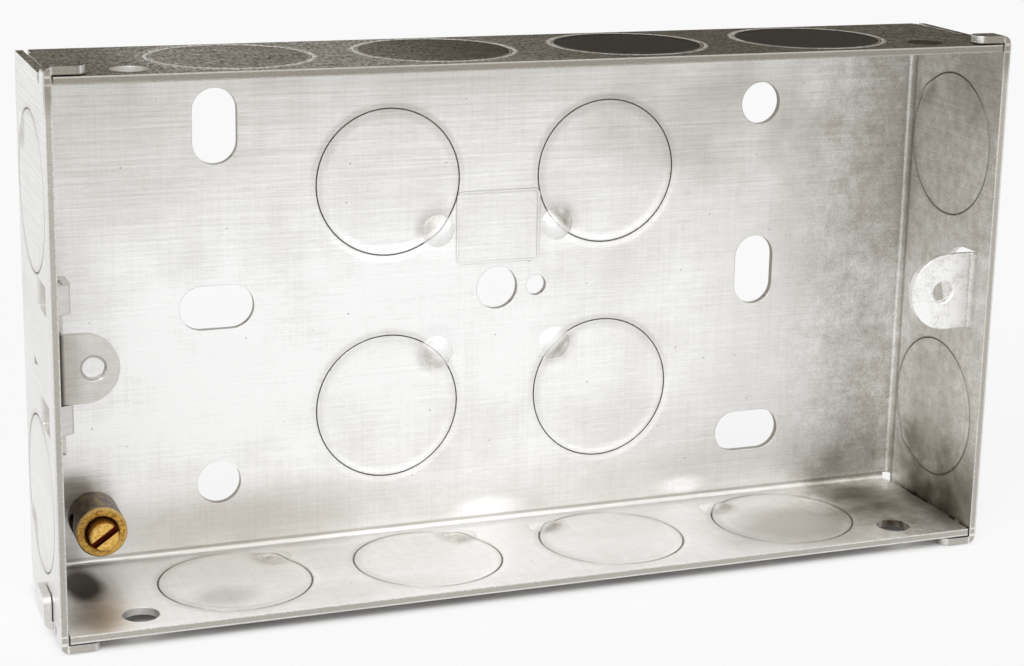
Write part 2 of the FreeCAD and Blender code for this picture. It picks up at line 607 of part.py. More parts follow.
def lug_outline(sketch, root, centre_x, centre_y, radius, towards):
    """A straight-sided lug with a half-round end, from its root to its tip along the sketch."""
    size = value(radius)
    centre = FreeCAD.Vector(value(centre_x), value(centre_y), 0)
    start = -90 if towards > 0 else 90
    full = Part.Circle(centre, FreeCAD.Vector(0, 0, 1), size)
    arc = Part.ArcOfCircle(full, math.radians(start), math.radians(start + 180))
    first_side = FreeCAD.Vector(value(root), arc.EndPoint.y, 0)
    second_side = FreeCAD.Vector(value(root), arc.StartPoint.y, 0)
    tip = sketch.addGeometry(arc, False)
    out = sketch.addGeometry(Part.LineSegment(arc.EndPoint, first_side), False)
    base = sketch.addGeometry(Part.LineSegment(first_side, second_side), False)
    back = sketch.addGeometry(Part.LineSegment(second_side, arc.StartPoint), False)
    sketch.addConstraint(Sketcher.Constraint("Tangent", tip, 2, out, 1))
    sketch.addConstraint(Sketcher.Constraint("Coincident", out, 2, base, 1))
    sketch.addConstraint(Sketcher.Constraint("Coincident", base, 2, back, 1))
    sketch.addConstraint(Sketcher.Constraint("Tangent", back, 2, tip, 1))
    pin_point(sketch, tip, 3, centre_x, centre_y)
    held = sketch.addConstraint(Sketcher.Constraint("Radius", tip, size))
    sketch.setExpression(f"Constraints[{held}]", bound(radius))
    sketch.addConstraint(Sketcher.Constraint("Vertical", base))
    held = sketch.addConstraint(Sketcher.Constraint("DistanceX", -1, 1, base, 1, value(root)))
    sketch.setExpression(f"Constraints[{held}]", bound(root))
    sketch.addConstraint(Sketcher.Constraint("Horizontal", out))


def fold_profile(sketch, centre_x, centre_y, start):
    """A quarter of a ring, as thick as the sheet, from one arc's start to a quarter turn on."""
    inner_size = value("bend_inner_radius")
    outer_size = value(BEND_OUTER_RADIUS)
    centre = FreeCAD.Vector(value(centre_x), value(centre_y), 0)
    arcs = []
    for size, expression in ((inner_size, "bend_inner_radius"), (outer_size, BEND_OUTER_RADIUS)):
        full = Part.Circle(centre, FreeCAD.Vector(0, 0, 1), size)
        arc = Part.ArcOfCircle(full, math.radians(start), math.radians(start + 90))
        index = sketch.addGeometry(arc, False)
        arcs.append((index, arc))
        pin_point(sketch, index, 3, centre_x, centre_y)
        held = sketch.addConstraint(Sketcher.Constraint("Radius", index, size))
        sketch.setExpression(f"Constraints[{held}]", bound(expression))
    (inner, inner_arc), (outer, outer_arc) = arcs
    first = sketch.addGeometry(Part.LineSegment(inner_arc.StartPoint, outer_arc.StartPoint), False)
    last = sketch.addGeometry(Part.LineSegment(outer_arc.EndPoint, inner_arc.EndPoint), False)
    sketch.addConstraint(Sketcher.Constraint("Coincident", inner, 1, first, 1))
    sketch.addConstraint(Sketcher.Constraint("Coincident", first, 2, outer, 1))
    sketch.addConstraint(Sketcher.Constraint("Coincident", outer, 2, last, 1))
    sketch.addConstraint(Sketcher.Constraint("Coincident", last, 2, inner, 2))
    sketch.addConstraint(Sketcher.Constraint("Horizontal" if start % 180 == 0 else "Vertical", first))
    sketch.addConstraint(Sketcher.Constraint("Vertical" if start % 180 == 0 else "Horizontal", last))
    level = ("DistanceY", centre_y) if start % 180 == 0 else ("DistanceX", centre_x)
    upright = ("DistanceX", centre_x) if start % 180 == 0 else ("DistanceY", centre_y)
    for (kind, expression), position in ((level, 1), (upright, 2)):
        held = sketch.addConstraint(Sketcher.Constraint(kind, -1, 1, inner, position, value(expression)))
        sketch.setExpression(f"Constraints[{held}]", bound(expression))


# Fixed lug: lanced out of the right wall and folded inwards, which leaves a window behind it
FOLD_Y = f"({LUG_FRONT} + bend_inner_radius)"
WINDOW_RADIUS = "(fixed_lug_width / 2 + fixed_lug_clearance)"
window_sketch = new_sketch(shell, "fixed_lug_window", "YZ_Plane", "box_width / 2 - sheet_thickness / 2")
lug_outline(
    window_sketch, f"-1 * {FOLD_Y}", f"-1 * ({FOLD_Y} - fixed_lug_window_length + {WINDOW_RADIUS})",
    "0", WINDOW_RADIUS, 1)
pocket(shell, "fixed_lug_window_cut", window_sketch, "2 * sheet_thickness")

lug_sketch = new_sketch(shell, "fixed_lug_outline", "XZ_Plane", LUG_BACK)
lug_outline(
    lug_sketch, f"{INSIDE_X} - bend_inner_radius", f"{LUG_X} - fixed_lug_tip + fixed_lug_width / 2",
    "0", "(fixed_lug_width / 2)", -1)
pad(shell, "fixed_lug", lug_sketch, "sheet_thickness")

fold_sketch = new_sketch(shell, "fixed_lug_fold_profile", "XY_Plane")
fold_profile(fold_sketch, f"{INSIDE_X} - bend_inner_radius", f"-1 * {FOLD_Y}", 0)
pad(shell, "fixed_lug_fold", fold_sketch, "fixed_lug_width", symmetric=True)

bore_sketch = new_sketch(shell, "fixed_lug_bore_outline", "XZ_Plane", f"{LUG_BACK} + sheet_thickness / 2")
circle(bore_sketch, LUG_X, "0", "lug_bore_diameter")
fixed_bore = pocket(shell, "fixed_lug_bore", bore_sketch, "2 * sheet_thickness")

bore_radius = value("lug_bore_diameter / 2")
lug_front_y = -value(LUG_FRONT)


def is_bore_mouth(middle, direction, edge):
    """The front edge of a tapped hole."""
    round_edge = isinstance(edge.Curve, Part.Circle) and near(edge.Curve.Radius, bore_radius)
    return round_edge and near(middle.y, lug_front_y)


names = edges_where(fixed_bore, is_bore_mouth)
chamfered(shell, "fixed_lug_bore_mouth", fixed_bore, names, "lug_bore_chamfer")

# Adjustable lug: a flat plate that slides under the bridges, with a lug folded in from its front edge
slider = new_body("adjustable_lug")
plate_sketch = new_sketch(slider, "slider_plate_outline", "YZ_Plane", f"-1 * {SLIDER_OUTER_X}")
FOLD_START = f"-1 * ({LUG_BACK} - bend_inner_radius)"
SLIDER_LOW = f"({SLIDING_LUG_Z} - slider_length / 2)"
SLIDER_HIGH = f"({SLIDING_LUG_Z} + slider_length / 2)"
RELIEF_LOW = f"({SLIDING_LUG_Z} - sliding_lug_width / 2 - slider_relief)"
RELIEF_HIGH = f"({SLIDING_LUG_Z} + sliding_lug_width / 2 + slider_relief)"
polygon(plate_sketch, (
    (f"-1 * {SLIDER_BACK}", SLIDER_LOW),
    (f"-1 * {SLIDER_BACK}", SLIDER_HIGH),
    (f"-1 * {SLIDER_FRONT}", SLIDER_HIGH),
    (f"-1 * {SLIDER_FRONT}", RELIEF_HIGH),
    (FOLD_START, RELIEF_HIGH),
    (FOLD_START, RELIEF_LOW),
    (f"-1 * {SLIDER_FRONT}", RELIEF_LOW),
    (f"-1 * {SLIDER_FRONT}", SLIDER_LOW),
))
plate = pad(slider, "slider_plate", plate_sketch, "sheet_thickness")

slider_low, slider_high = value(SLIDER_LOW), value(SLIDER_HIGH)


def is_slider_corner(middle, direction, edge):
    at_end = near(middle.z, slider_low) or near(middle.z, slider_high)
    return at_end and runs_along(direction, X_AXIS)


names = edges_where(plate, is_slider_corner)
rounded(slider, "slider_corners", plate, names, "slider_end_radius")

fold_sketch = new_sketch(slider, "sliding_lug_fold_profile", "XY_Plane", SLIDING_LUG_Z)
fold_profile(
    fold_sketch, f"-1 * ({SLIDER_INNER_X} - bend_inner_radius)",
    f"-1 * ({LUG_BACK} - bend_inner_radius)", 180)
pad(slider, "sliding_lug_fold", fold_sketch, "sliding_lug_width", symmetric=True)

lug_sketch = new_sketch(slider, "sliding_lug_outline", "XZ_Plane", LUG_BACK)
lug_outline(
    lug_sketch, f"-1 * ({SLIDER_INNER_X} - bend_inner_radius)",
    f"-1 * ({LUG_X} - sliding_lug_tip + sliding_lug_width / 2)", SLIDING_LUG_Z, "(sliding_lug_width / 2)", 1)
pad(slider, "sliding_lug", lug_sketch, "sheet_thickness")

bore_sketch = new_sketch(slider, "sliding_lug_bore_outline", "XZ_Plane", f"{LUG_BACK} + sheet_thickness / 2")
circle(bore_sketch, f"-1 * {LUG_X}", SLIDING_LUG_Z, "lug_bore_diameter")
sliding_bore = pocket(slider, "sliding_lug_bore", bore_sketch, "2 * sheet_thickness")
names = edges_where(sliding_bore, is_bore_mouth)
chamfered(slider, "sliding_lug_bore_mouth", sliding_bore, names, "lug_bore_chamfer")


def turned(body, name, profile):
    """Turns a half outline about the earth terminal's own axis."""
    sketch = new_sketch(body, f"{name}_profile", "XY_Plane", POST_Z)
    sketch.setExpression("AttachmentOffset.Base.x", bound(POST_X))
    polygon(sketch, profile)
    feature = body.newObject("PartDesign::Revolution", name)
    feature.Profile = sketch
    feature.ReferenceAxis = (sketch, ["V_Axis"])
    feature.Angle = 360.0
    document.recompute()
    return feature


# Earth terminal: a turned brass pillar, bored for its screw and drilled across for the wire
post = new_body("earth_terminal_post")
BORE_FLOOR = "(sheet_thickness + post_bore_floor)"
turned(post, "pillar", (
    ("0", "0"),
    ("post_spigot_diameter / 2", "0"),
    ("post_spigot_diameter / 2", "-1 * sheet_thickness"),
    ("post_diameter / 2", "-1 * sheet_thickness"),
    ("post_diameter / 2", f"-1 * ({POST_FRONT} - post_rim_chamfer)"),
    ("post_diameter / 2 - post_rim_chamfer", f"-1 * {POST_FRONT}"),
    ("post_bore_diameter / 2 + post_mouth_chamfer", f"-1 * {POST_FRONT}"),
    ("post_bore_diameter / 2", f"-1 * ({POST_FRONT} - post_mouth_chamfer)"),
    ("post_bore_diameter / 2", f"-1 * {BORE_FLOOR}"),
    ("0", f"-1 * {BORE_FLOOR}"),
))
wire_sketch = new_sketch(post, "wire_hole_outline", "YZ_Plane", POST_X)
circle(wire_sketch, "-1 * (sheet_thickness + wire_hole_height)", POST_Z, "wire_hole_diameter")
pocket(post, "wire_hole", wire_sketch, "post_diameter + 2")

# Terminal screw: headless and slotted, drawn as it stands part way out of the pillar
screw = new_body("earth_terminal_screw")
SCREW_RADIUS = "(post_bore_diameter / 2 - screw_clearance)"
SCREW_FRONT = f"({POST_FRONT} + screw_protrusion)"
SCREW_TIP = f"({POST_FRONT} + screw_protrusion - screw_length)"
turned(screw, "screw_body", (
    ("0", f"-1 * {SCREW_FRONT}"),
    (f"{SCREW_RADIUS} - screw_edge_chamfer", f"-1 * {SCREW_FRONT}"),
    (SCREW_RADIUS, f"-1 * ({SCREW_FRONT} - screw_edge_chamfer)"),
    (SCREW_RADIUS, f"-1 * ({SCREW_TIP} + screw_point_chamfer)"),
    (f"{SCREW_RADIUS} - screw_point_chamfer", f"-1 * {SCREW_TIP}"),
    ("0", f"-1 * {SCREW_TIP}"),
))
slot_sketch = new_sketch(screw, "driver_slot_outline", "XZ_Plane", SCREW_FRONT)
ALONG_X = "(post_bore_diameter * cos(screw_slot_angle))"
ALONG_Z = "(post_bore_diameter * sin(screw_slot_angle))"
ASIDE_X = "(screw_slot_width / 2 * sin(screw_slot_angle))"
ASIDE_Z = "(screw_slot_width / 2 * cos(screw_slot_angle))"
polygon(slot_sketch, (
    (f"{POST_X} - {ALONG_X} + {ASIDE_X}", f"{POST_Z} - {ALONG_Z} - {ASIDE_Z}"),
    (f"{POST_X} + {ALONG_X} + {ASIDE_X}", f"{POST_Z} + {ALONG_Z} - {ASIDE_Z}"),
    (f"{POST_X} + {ALONG_X} - {ASIDE_X}", f"{POST_Z} + {ALONG_Z} + {ASIDE_Z}"),
    (f"{POST_X} - {ALONG_X} - {ASIDE_X}", f"{POST_Z} - {ALONG_Z} + {ASIDE_Z}"),
))
pocket(screw, "driver_slot", slot_sketch, "2 * screw_slot_depth")

document.recompute()
for item in document.Objects:
    if "Invalid" in item.State or "Error" in item.State:
        raise RuntimeError(f"{item.Name} didn't compute: {item.State}")

os.makedirs("parts", exist_ok=True)
for body in (shell, slider, post, screw):
    shape = body.Shape
    if shape.isNull() or not shape.isValid() or len(shape.Solids) != 1:
        raise RuntimeError(f"{body.Label} isn't one valid solid")
    shape.exportStep(f"parts/{body.Label}.step")
    box = shape.BoundBox
    print(f"{body.Label}: {shape.Volume:.1f} cubic mm, {len(shape.Faces)} faces, "
          f"X {box.XMin:.2f} to {box.XMax:.2f}, Y {box.YMin:.2f} to {box.YMax:.2f}, "
          f"Z {box.ZMin:.2f} to {box.ZMax:.2f}")
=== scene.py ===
import math

import bpy
from mathutils import Matrix, Vector


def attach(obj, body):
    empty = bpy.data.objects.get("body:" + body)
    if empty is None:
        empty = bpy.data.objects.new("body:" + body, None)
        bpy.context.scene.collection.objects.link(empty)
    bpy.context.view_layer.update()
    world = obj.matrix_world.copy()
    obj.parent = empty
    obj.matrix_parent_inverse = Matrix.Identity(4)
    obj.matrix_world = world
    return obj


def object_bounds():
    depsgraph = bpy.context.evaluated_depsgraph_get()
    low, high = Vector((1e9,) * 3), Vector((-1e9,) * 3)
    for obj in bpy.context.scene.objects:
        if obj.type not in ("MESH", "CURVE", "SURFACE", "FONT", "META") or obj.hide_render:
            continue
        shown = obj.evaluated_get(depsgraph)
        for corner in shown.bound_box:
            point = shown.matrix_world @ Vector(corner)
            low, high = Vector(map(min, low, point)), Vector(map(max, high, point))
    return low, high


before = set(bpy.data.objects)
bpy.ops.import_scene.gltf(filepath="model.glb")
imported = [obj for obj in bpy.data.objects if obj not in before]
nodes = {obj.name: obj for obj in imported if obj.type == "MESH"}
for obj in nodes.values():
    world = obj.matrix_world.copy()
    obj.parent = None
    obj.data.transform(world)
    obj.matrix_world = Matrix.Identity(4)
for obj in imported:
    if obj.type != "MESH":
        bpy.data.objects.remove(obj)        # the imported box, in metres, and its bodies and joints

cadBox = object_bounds()
millimetre = 0.001

# the box's faces in mm: inside of the back plate, end walls, long walls
box = {
    "plateY": -1.0,
    "outerX": 66.0, "innerX": 65.0,
    "outerZ": 35.8, "innerZ": 34.8,
}


# the node tree of one material, with short helpers
class NodeTree:
    def __init__(self, name):
        self.material = bpy.data.materials.new(name)
        self.material.use_nodes = True
        self.tree = self.material.node_tree
        self.tree.nodes.clear()
        self.output = self.tree.nodes.new("ShaderNodeOutputMaterial")
        self.shader = self.tree.nodes.new("ShaderNodeBsdfPrincipled")
        self.tree.links.new(self.shader.outputs[0], self.output.inputs["Surface"])

    def node(self, kind, **settings):
        made = self.tree.nodes.new(kind)
        for key, value in settings.items():
            setattr(made, key, value)
        return made

    def plug(self, socket, value):
        if isinstance(value, bpy.types.NodeSocket):
            self.tree.links.new(value, socket)
        else:
            socket.default_value = value

    def surface(self, name, value):
        self.plug(self.shader.inputs[name], value)

    def maths(self, operation, first, second=0.0, third=0.0, clamp=False):
        made = self.node("ShaderNodeMath", operation=operation, use_clamp=clamp)
        self.plug(made.inputs[0], first)
        self.plug(made.inputs[1], second)
        self.plug(made.inputs[2], third)
        return made.outputs[0]

    def add(self, first, *others):
        for other in others:
            first = self.maths("ADD", first, other)
        return first

    def less(self, first, second):
        return self.maths("SUBTRACT", first, second)

    def times(self, first, *others):
        for other in others:
            first = self.maths("MULTIPLY", first, other)
        return first

    def most(self, first, *others):
        for other in others:
            first = self.maths("MAXIMUM", first, other)
        return first

    def size(self, value):
        return self.maths("ABSOLUTE", value)

    def inverse(self, share):
        return self.maths("SUBTRACT", 1.0, share, clamp=True)

    def scaledBy(self, value, change, amount):
        # value made larger by change, which is around zero
        return self.times(value, self.add(1.0, self.times(change, amount)))

    def darkened(self, value, share, amount):
        return self.times(value, self.less(1.0, self.times(share, amount)))

    def fade(self, value, low, high, start=0.0, end=1.0):
        # soft step: start at low, end at high
        made = self.node("ShaderNodeMapRange", interpolation_type="SMOOTHSTEP")
        self.plug(made.inputs["Value"], value)
        self.plug(made.inputs["From Min"], low)
        self.plug(made.inputs["From Max"], high)
        self.plug(made.inputs["To Min"], start)
        self.plug(made.inputs["To Max"], end)
        return made.outputs["Result"]

    def band(self, value, middle, reach, soft):
        # 1 within reach of the middle, fading to 0 over soft
        return self.fade(self.size(self.less(value, middle)), reach, reach + soft, 1.0, 0.0)

    def joined(self, x, y, z):
        made = self.node("ShaderNodeCombineXYZ")
        for socket, value in zip(made.inputs, (x, y, z)):
            self.plug(socket, value)
        return made.outputs[0]

    def split(self, vector):
        made = self.node("ShaderNodeSeparateXYZ")
        self.plug(made.inputs[0], vector)
        return made.outputs[0], made.outputs[1], made.outputs[2]

    def noise(self, where, scale, detail=3.0, rough=0.5, twist=0.0):
        made = self.node("ShaderNodeTexNoise")
        self.plug(made.inputs["Vector"], where)
        self.plug(made.inputs["Scale"], scale)
        self.plug(made.inputs["Detail"], detail)
        self.plug(made.inputs["Roughness"], rough)
        self.plug(made.inputs["Distortion"], twist)
        return made.outputs["Fac"]

    def uneven(self, where, *settings):
        # noise around zero
        return self.less(self.noise(where, *settings), 0.5)

    def stretched(self, where, scales):
        made = self.node("ShaderNodeMapping")
        self.plug(made.inputs["Vector"], where)
        made.inputs["Scale"].default_value = scales
        return made.outputs[0]

    def mixed(self, share, first, second):
        made = self.node("ShaderNodeMix", data_type="RGBA")
        self.plug(made.inputs["Factor"], share)
        for socket, colour in ((made.inputs[6], first), (made.inputs[7], second)):
            if isinstance(colour, bpy.types.NodeSocket):
                self.tree.links.new(colour, socket)
            else:
                socket.default_value = (*colour, 1.0)
        return made.outputs[2]

    def grey(self, value, powers):
        # a grey of that value, warmer where it is darker
        made = self.node("ShaderNodeCombineColor")
        for socket, power in zip(made.inputs, powers):
            self.plug(socket, self.maths("POWER", value, power))
        return made.outputs[0]

    def bump(self, height, depth, strength=1.0, under=None):
        made = self.node("ShaderNodeBump")
        self.plug(made.inputs["Height"], height)
        made.inputs["Distance"].default_value = depth
        made.inputs["Strength"].default_value = strength
        if under is not None:
            self.tree.links.new(under, made.inputs["Normal"])
        return made.outputs[0]

    def blend(self, share, first, second):
        # first where share is 0, second where it is 1
        made = self.node("ShaderNodeMix", data_type="FLOAT", clamp_factor=True)
        self.plug(made.inputs[0], share)
        self.plug(made.inputs[2], first)
        self.plug(made.inputs[3], second)
        return made.outputs[0]

    def blob(self, where, centre, reach, edge, soft, wander):
        # 1 in the middle of a patch, fading out at its edge; wander makes the edge uneven
        moved = self.node("ShaderNodeVectorMath", operation="SUBTRACT")
        self.plug(moved.inputs[0], where)
        moved.inputs[1].default_value = centre
        scaled = self.node("ShaderNodeVectorMath", operation="DIVIDE")
        self.plug(scaled.inputs[0], moved.outputs[0])
        scaled.inputs[1].default_value = reach
        length = self.node("ShaderNodeVectorMath", operation="LENGTH")
        self.plug(length.inputs[0], scaled.outputs[0])
        away = self.add(length.outputs["Value"], self.times(wander, soft))
        return self.fade(away, edge, edge - soft, 0.0, 1.0)

    def specks(self, where, scale, size, chances):
        # scattered dots: a few of the cells have one
        made = self.node("ShaderNodeTexVoronoi", feature="F1")
        self.plug(made.inputs["Vector"], where)
        made.inputs["Scale"].default_value = scale
        chance = self.split(made.outputs["Color"])[0]
        dot = self.fade(made.outputs["Distance"], *size)
        return self.times(dot, self.fade(chance, *chances))

    def nearest(self, first, firstEdge, second, secondEdge):
        # distance to the nearer of two edges
        one = self.size(self.less(first, firstEdge))
        other = self.size(self.less(second, secondEdge))
        return self.maths("MINIMUM", one, other)

    def diagonal(self, first, second):
        return self.maths("SQRT", self.add(self.times(first, first), self.times(second, second)))

    def millimetres(self):
        where = self.node("ShaderNodeTexCoord")
        made = self.node("ShaderNodeVectorMath", operation="SCALE")
        self.tree.links.new(where.outputs["Object"], made.inputs[0])
        made.inputs["Scale"].default_value = 1 / millimetre
        return made.outputs[0], where.outputs["Normal"]


# the photograph's viewpoint
camera = {
    "place": (-0.1042, -0.2852, 0.0763),
    "right": (0.9364, -0.3504, 0.0203),
    "up": (0.0656, 0.2316, 0.9706),
    "lens": 77.7,
    "sensor": 36.0,
    "shift": (-0.0100, -0.0540),
    "clip": (0.01, 50.0),
}


def setCamera(data):
    lens = bpy.data.cameras.new("viewCamera")
    lens.lens = data["lens"]
    lens.sensor_width = data["sensor"]
    lens.sensor_fit = "HORIZONTAL"
    lens.shift_x, lens.shift_y = data["shift"]
    lens.clip_start, lens.clip_end = data["clip"]
    eye = bpy.data.objects.new("viewCamera", lens)
    bpy.context.scene.collection.objects.link(eye)
    right = Vector(data["right"]).normalized()
    up = Vector(data["up"])
    up = (up - right * up.dot(right)).normalized()
    back = right.cross(up)
    turn = Matrix((right, up, back)).transposed().to_4x4()
    eye.matrix_world = Matrix.Translation(Vector(data["place"])) @ turn
    bpy.context.scene.camera = eye


setCamera(camera)
print("camera set")

# a white surround, which lights the box less than it shows, and two soft lamps; spread in degrees
light = {
    "worldLevel": 0.35,
    "lamps": {
        "keyLight": {"power": 1.5, "from": (-0.45, -0.60, 0.80), "spread": 40},
        "fillLight": {"power": 0.48, "from": (0.05, -1.0, 0.08), "spread": 50},
    },
}


def setWorld(level):
    world = bpy.data.worlds.new("paleStudio")
    bpy.context.scene.world = world
    world.use_nodes = True
    tree = world.node_tree
    tree.nodes.clear()
    output = tree.nodes.new("ShaderNodeOutputWorld")
    surround = tree.nodes.new("ShaderNodeBackground")
    path = tree.nodes.new("ShaderNodeLightPath")
    seen = tree.nodes.new("ShaderNodeMath")
    seen.operation = "MAXIMUM"
    tree.links.new(path.outputs["Is Camera Ray"], seen.inputs[0])
    tree.links.new(path.outputs["Is Glossy Ray"], seen.inputs[1])
    through = tree.nodes.new("ShaderNodeMath")
    through.operation = "MAXIMUM"
    tree.links.new(seen.outputs[0], through.inputs[0])
    tree.links.new(path.outputs["Is Transmission Ray"], through.inputs[1])
    strength = tree.nodes.new("ShaderNodeMapRange")
    tree.links.new(through.outputs[0], strength.inputs["Value"])
    strength.inputs["To Min"].default_value = level
    strength.inputs["To Max"].default_value = 1.0
    surround.inputs["Color"].default_value = (1.0, 1.0, 1.0, 1.0)
    tree.links.new(strength.outputs["Result"], surround.inputs["Strength"])
    tree.links.new(surround.outputs[0], output.inputs["Surface"])


def addLamp(name, data):
    lamp = bpy.data.lights.new(name, "SUN")
    lamp.energy = data["power"]
    lamp.angle = math.radians(data["spread"])
    holder = bpy.data.objects.new(name, lamp)
    bpy.context.scene.collection.objects.link(holder)
    holder.rotation_euler = Vector(data["from"]).to_track_quat("Z", "Y").to_euler()


setWorld(light["worldLevel"])
for lampName, lampData in light["lamps"].items():
    addLamp(lampName, lampData)
print("light set")

# a pale floor, nearly white where it is seen, in metres
ground = {
    "size": 6.0, "drop": 0.0002,
    "colour": (0.93, 0.93, 0.93), "roughness": 0.9, "specular": 0.1,
    "whiteShare": 0.84,
    # the ground right under the box in mm: start, fully under, leaving, end
    "underX": (-67, -64, 64, 67),
    "underY": (-26, -23, -2, 1),
}


def addFloor(data):
    half = data["size"] / 2
    level = cadBox[0][2] - data["drop"]
    corners = [(x * half, y * half, level) for x, y in ((-1, -1), (1, -1), (1, 1), (-1, 1))]
    mesh = bpy.data.meshes.new("paleFloor")
    mesh.from_pydata(corners, [], [(0, 1, 2, 3)])
    floor = bpy.data.objects.new("paleFloor", mesh)
    bpy.context.scene.collection.objects.link(floor)
    sheet = NodeTree("paleFloor")
    sheet.surface("Roughness", data["roughness"])
    sheet.surface("Specular IOR Level", data["specular"])
    sheet.surface("Base Color", (*data["colour"], 1.0))
    # seen straight or in metal the floor is nearly white, and keeps the box's soft shadow
    path = sheet.node("ShaderNodeLightPath")
    seen = sheet.most(path.outputs["Is Camera Ray"], path.outputs["Is Glossy Ray"],
                      path.outputs["Is Transmission Ray"])
    # right under the box the floor has only the light that reaches it
    x, y = sheet.split(sheet.millimetres()[0])[:2]
    under = 1.0
    for place, (start, full, leaving, end) in ((x, data["underX"]), (y, data["underY"])):
        under = sheet.times(under, sheet.fade(place, start, full), sheet.fade(place, end, leaving))
    glow = sheet.node("ShaderNodeEmission")
    blend = sheet.node("ShaderNodeMixShader")
    sheet.plug(blend.inputs["Fac"], sheet.times(seen, sheet.inverse(under), data["whiteShare"]))
    sheet.tree.links.new(sheet.shader.outputs[0], blend.inputs[1])
    sheet.tree.links.new(glow.outputs[0], blend.inputs[2])
    sheet.tree.links.new(blend.outputs[0], sheet.output.inputs["Surface"])
    mesh.materials.append(sheet.material)


addFloor(ground)

# where the discs and the metal left to hold them are, in mm, as the box has them
knockouts = {
    "backX": 16.1, "backZ": 16.0,
    "innerX": 13.7, "outerX": 40.8,
    "endZ": 19.8, "depth": -12.7,
    "radius": 10.25,
}
# from a disc's centre to its tie, along each of the two axes
toTie = knockouts["radius"] * math.cos(math.radians(45))


def discDistance(sheet, at, aside=0.0):
    # distance to the nearest disc's centre, or to its tie with aside = toTie
    # the box is the same in its four quarters, and a long wall has two discs in each
    wideX, highZ = sheet.size(at["x"]), sheet.size(at["z"])
    middle = (knockouts["innerX"] + knockouts["outerX"]) / 2 - aside
    half = (knockouts["outerX"] - knockouts["innerX"]) / 2
    backX = sheet.less(wideX, knockouts["backX"] - aside)
    backZ = sheet.less(highZ, knockouts["backZ"] - aside)
    longX = sheet.less(sheet.size(sheet.less(wideX, middle)), half)
    wallY = sheet.less(at["y"], knockouts["depth"] + aside)
    endZ = sheet.less(highZ, knockouts["endZ"] + aside)
    first = sheet.blend(at["onLong"], sheet.blend(at["onEnd"], backX, wallY), longX)
    second = sheet.blend(at["onLong"], sheet.blend(at["onEnd"], backZ, endZ), wallY)
    return sheet.diagonal(first, second)


# in the tables below a pair is the start and end of a soft step, and three numbers for a place
# are a band's middle, reach and softness

# each face: its axis, where it begins and is reached in mm, and how squarely the metal faces it
faces = {
    "outTop": ("z", (35.3, 35.7), (0.2, 0.7)),
    "inFloor": ("z", (-32.0, -34.0), (0.3, 0.8)),
    "inPlate": ("y", (-2.2, -1.2), (-0.3, -0.8)),
    "inRight": ("x", (63.6, 64.8), (-0.2, -0.8)),
    "outLeft": ("x", (-64.6, -65.7), (-0.2, -0.8)),
    "onRim": ("y", (-24.8, -24.95), (-0.5, -0.9)),
}

# other places in mm: the fixed lug, and painted shade behind the bridges' windows, on the cut
# edges of the top wall's discs and on the cut edges of the back plate's holes
spots = {
    "lug": {"x": (58.8, 5.3, 0.3), "y": (-20.5, 0.8, 0.4)},
    "window": {
        "x": (-65.9, -65.6), "backX": (-62.0, -62.4), "z": (0.0, 13.0, 0.5),
        "facing": (-0.3, -0.7),
    },
    "topCut": {
        "x": (-80.0, 30.0), "y": (-18.0, 4.0, 0.5), "z": (34.85, 34.95),
        "facing": (0.5, 0.3),
    },
    "holeCut": {
        "x": (64.0, 63.0), "y": (-0.5, 0.42, 0.06), "z": (34.0, 33.0),
        "facing": (0.5, 0.2),
    },
}
# how squarely a wall's metal faces its axis, how far out of the box it faces in mm, and its back
turns = {"wall": (0.6, 0.8), "outward": (5.0, 20.0), "rear": (0.3, 0.8)}
layerGap = 300.0


def placeOnSheet(sheet):
    # position in mm, and a share for each face or place that says whether the metal is there
    where, normal = sheet.millimetres()
    x, y, z = sheet.split(where)
    facing = dict(zip("xyz", sheet.split(normal)))
    square = {axis: sheet.size(facing[axis]) for axis in "xyz"}     # the same, either way
    at = {"where": where, "x": x, "y": y, "z": z}
    for name, (axis, reached, turned) in faces.items():
        at[name] = sheet.times(sheet.fade(at[axis], *reached), sheet.fade(facing[axis], *turned))
    at["onEnd"] = sheet.fade(square["x"], *turns["wall"])
    at["onLong"] = sheet.fade(square["z"], *turns["wall"])
    lug, window, topCut, holeCut = spots.values()
    at["onLug"] = sheet.times(sheet.band(x, *lug["x"]), sheet.band(y, *lug["y"]))
    inWindow = sheet.times(sheet.fade(x, *window["x"]), sheet.fade(x, *window["backX"]),
                           sheet.fade(facing["x"], *window["facing"]), sheet.band(z, *window["z"]))
    inTopCut = sheet.times(sheet.fade(z, *topCut["z"]), sheet.fade(square["z"], *topCut["facing"]),
                           sheet.band(y, *topCut["y"]), sheet.fade(x, *topCut["x"]))
    # painted shade behind the bridges' windows and on the cut edges of the top wall's discs
    at["inShade"] = sheet.most(inWindow, inTopCut)
    at["isDull"] = sheet.most(at["outTop"], at["inShade"])
    at["onCut"] = sheet.times(sheet.band(y, *holeCut["y"]),
                              sheet.fade(square["y"], *holeCut["facing"]),
                              sheet.fade(sheet.size(x), *holeCut["x"]),
                              sheet.fade(sheet.size(z), *holeCut["z"]))
    # 0 where the metal faces into the box, 1 where it faces out of it
    outward = sheet.most(sheet.times(x, facing["x"]), sheet.times(z, facing["z"]))
    at["isOutside"] = sheet.most(sheet.fade(outward, *turns["outward"]),
                                 sheet.fade(facing["y"], *turns["rear"]))
    # the sheet laid flat, with a layer of its own for each pair of walls
    along = sheet.add(x, sheet.times(y, at["onEnd"]))
    at["across"] = sheet.add(z, sheet.times(y, at["onLong"]))
    layer = sheet.times(sheet.less(at["onEnd"], at["onLong"]), layerGap)
    at["flat"] = sheet.joined(along, at["across"], layer)
    at["ring"] = discDistance(sheet, at)
    at["tie"] = discDistance(sheet, at, toTie)
    return at


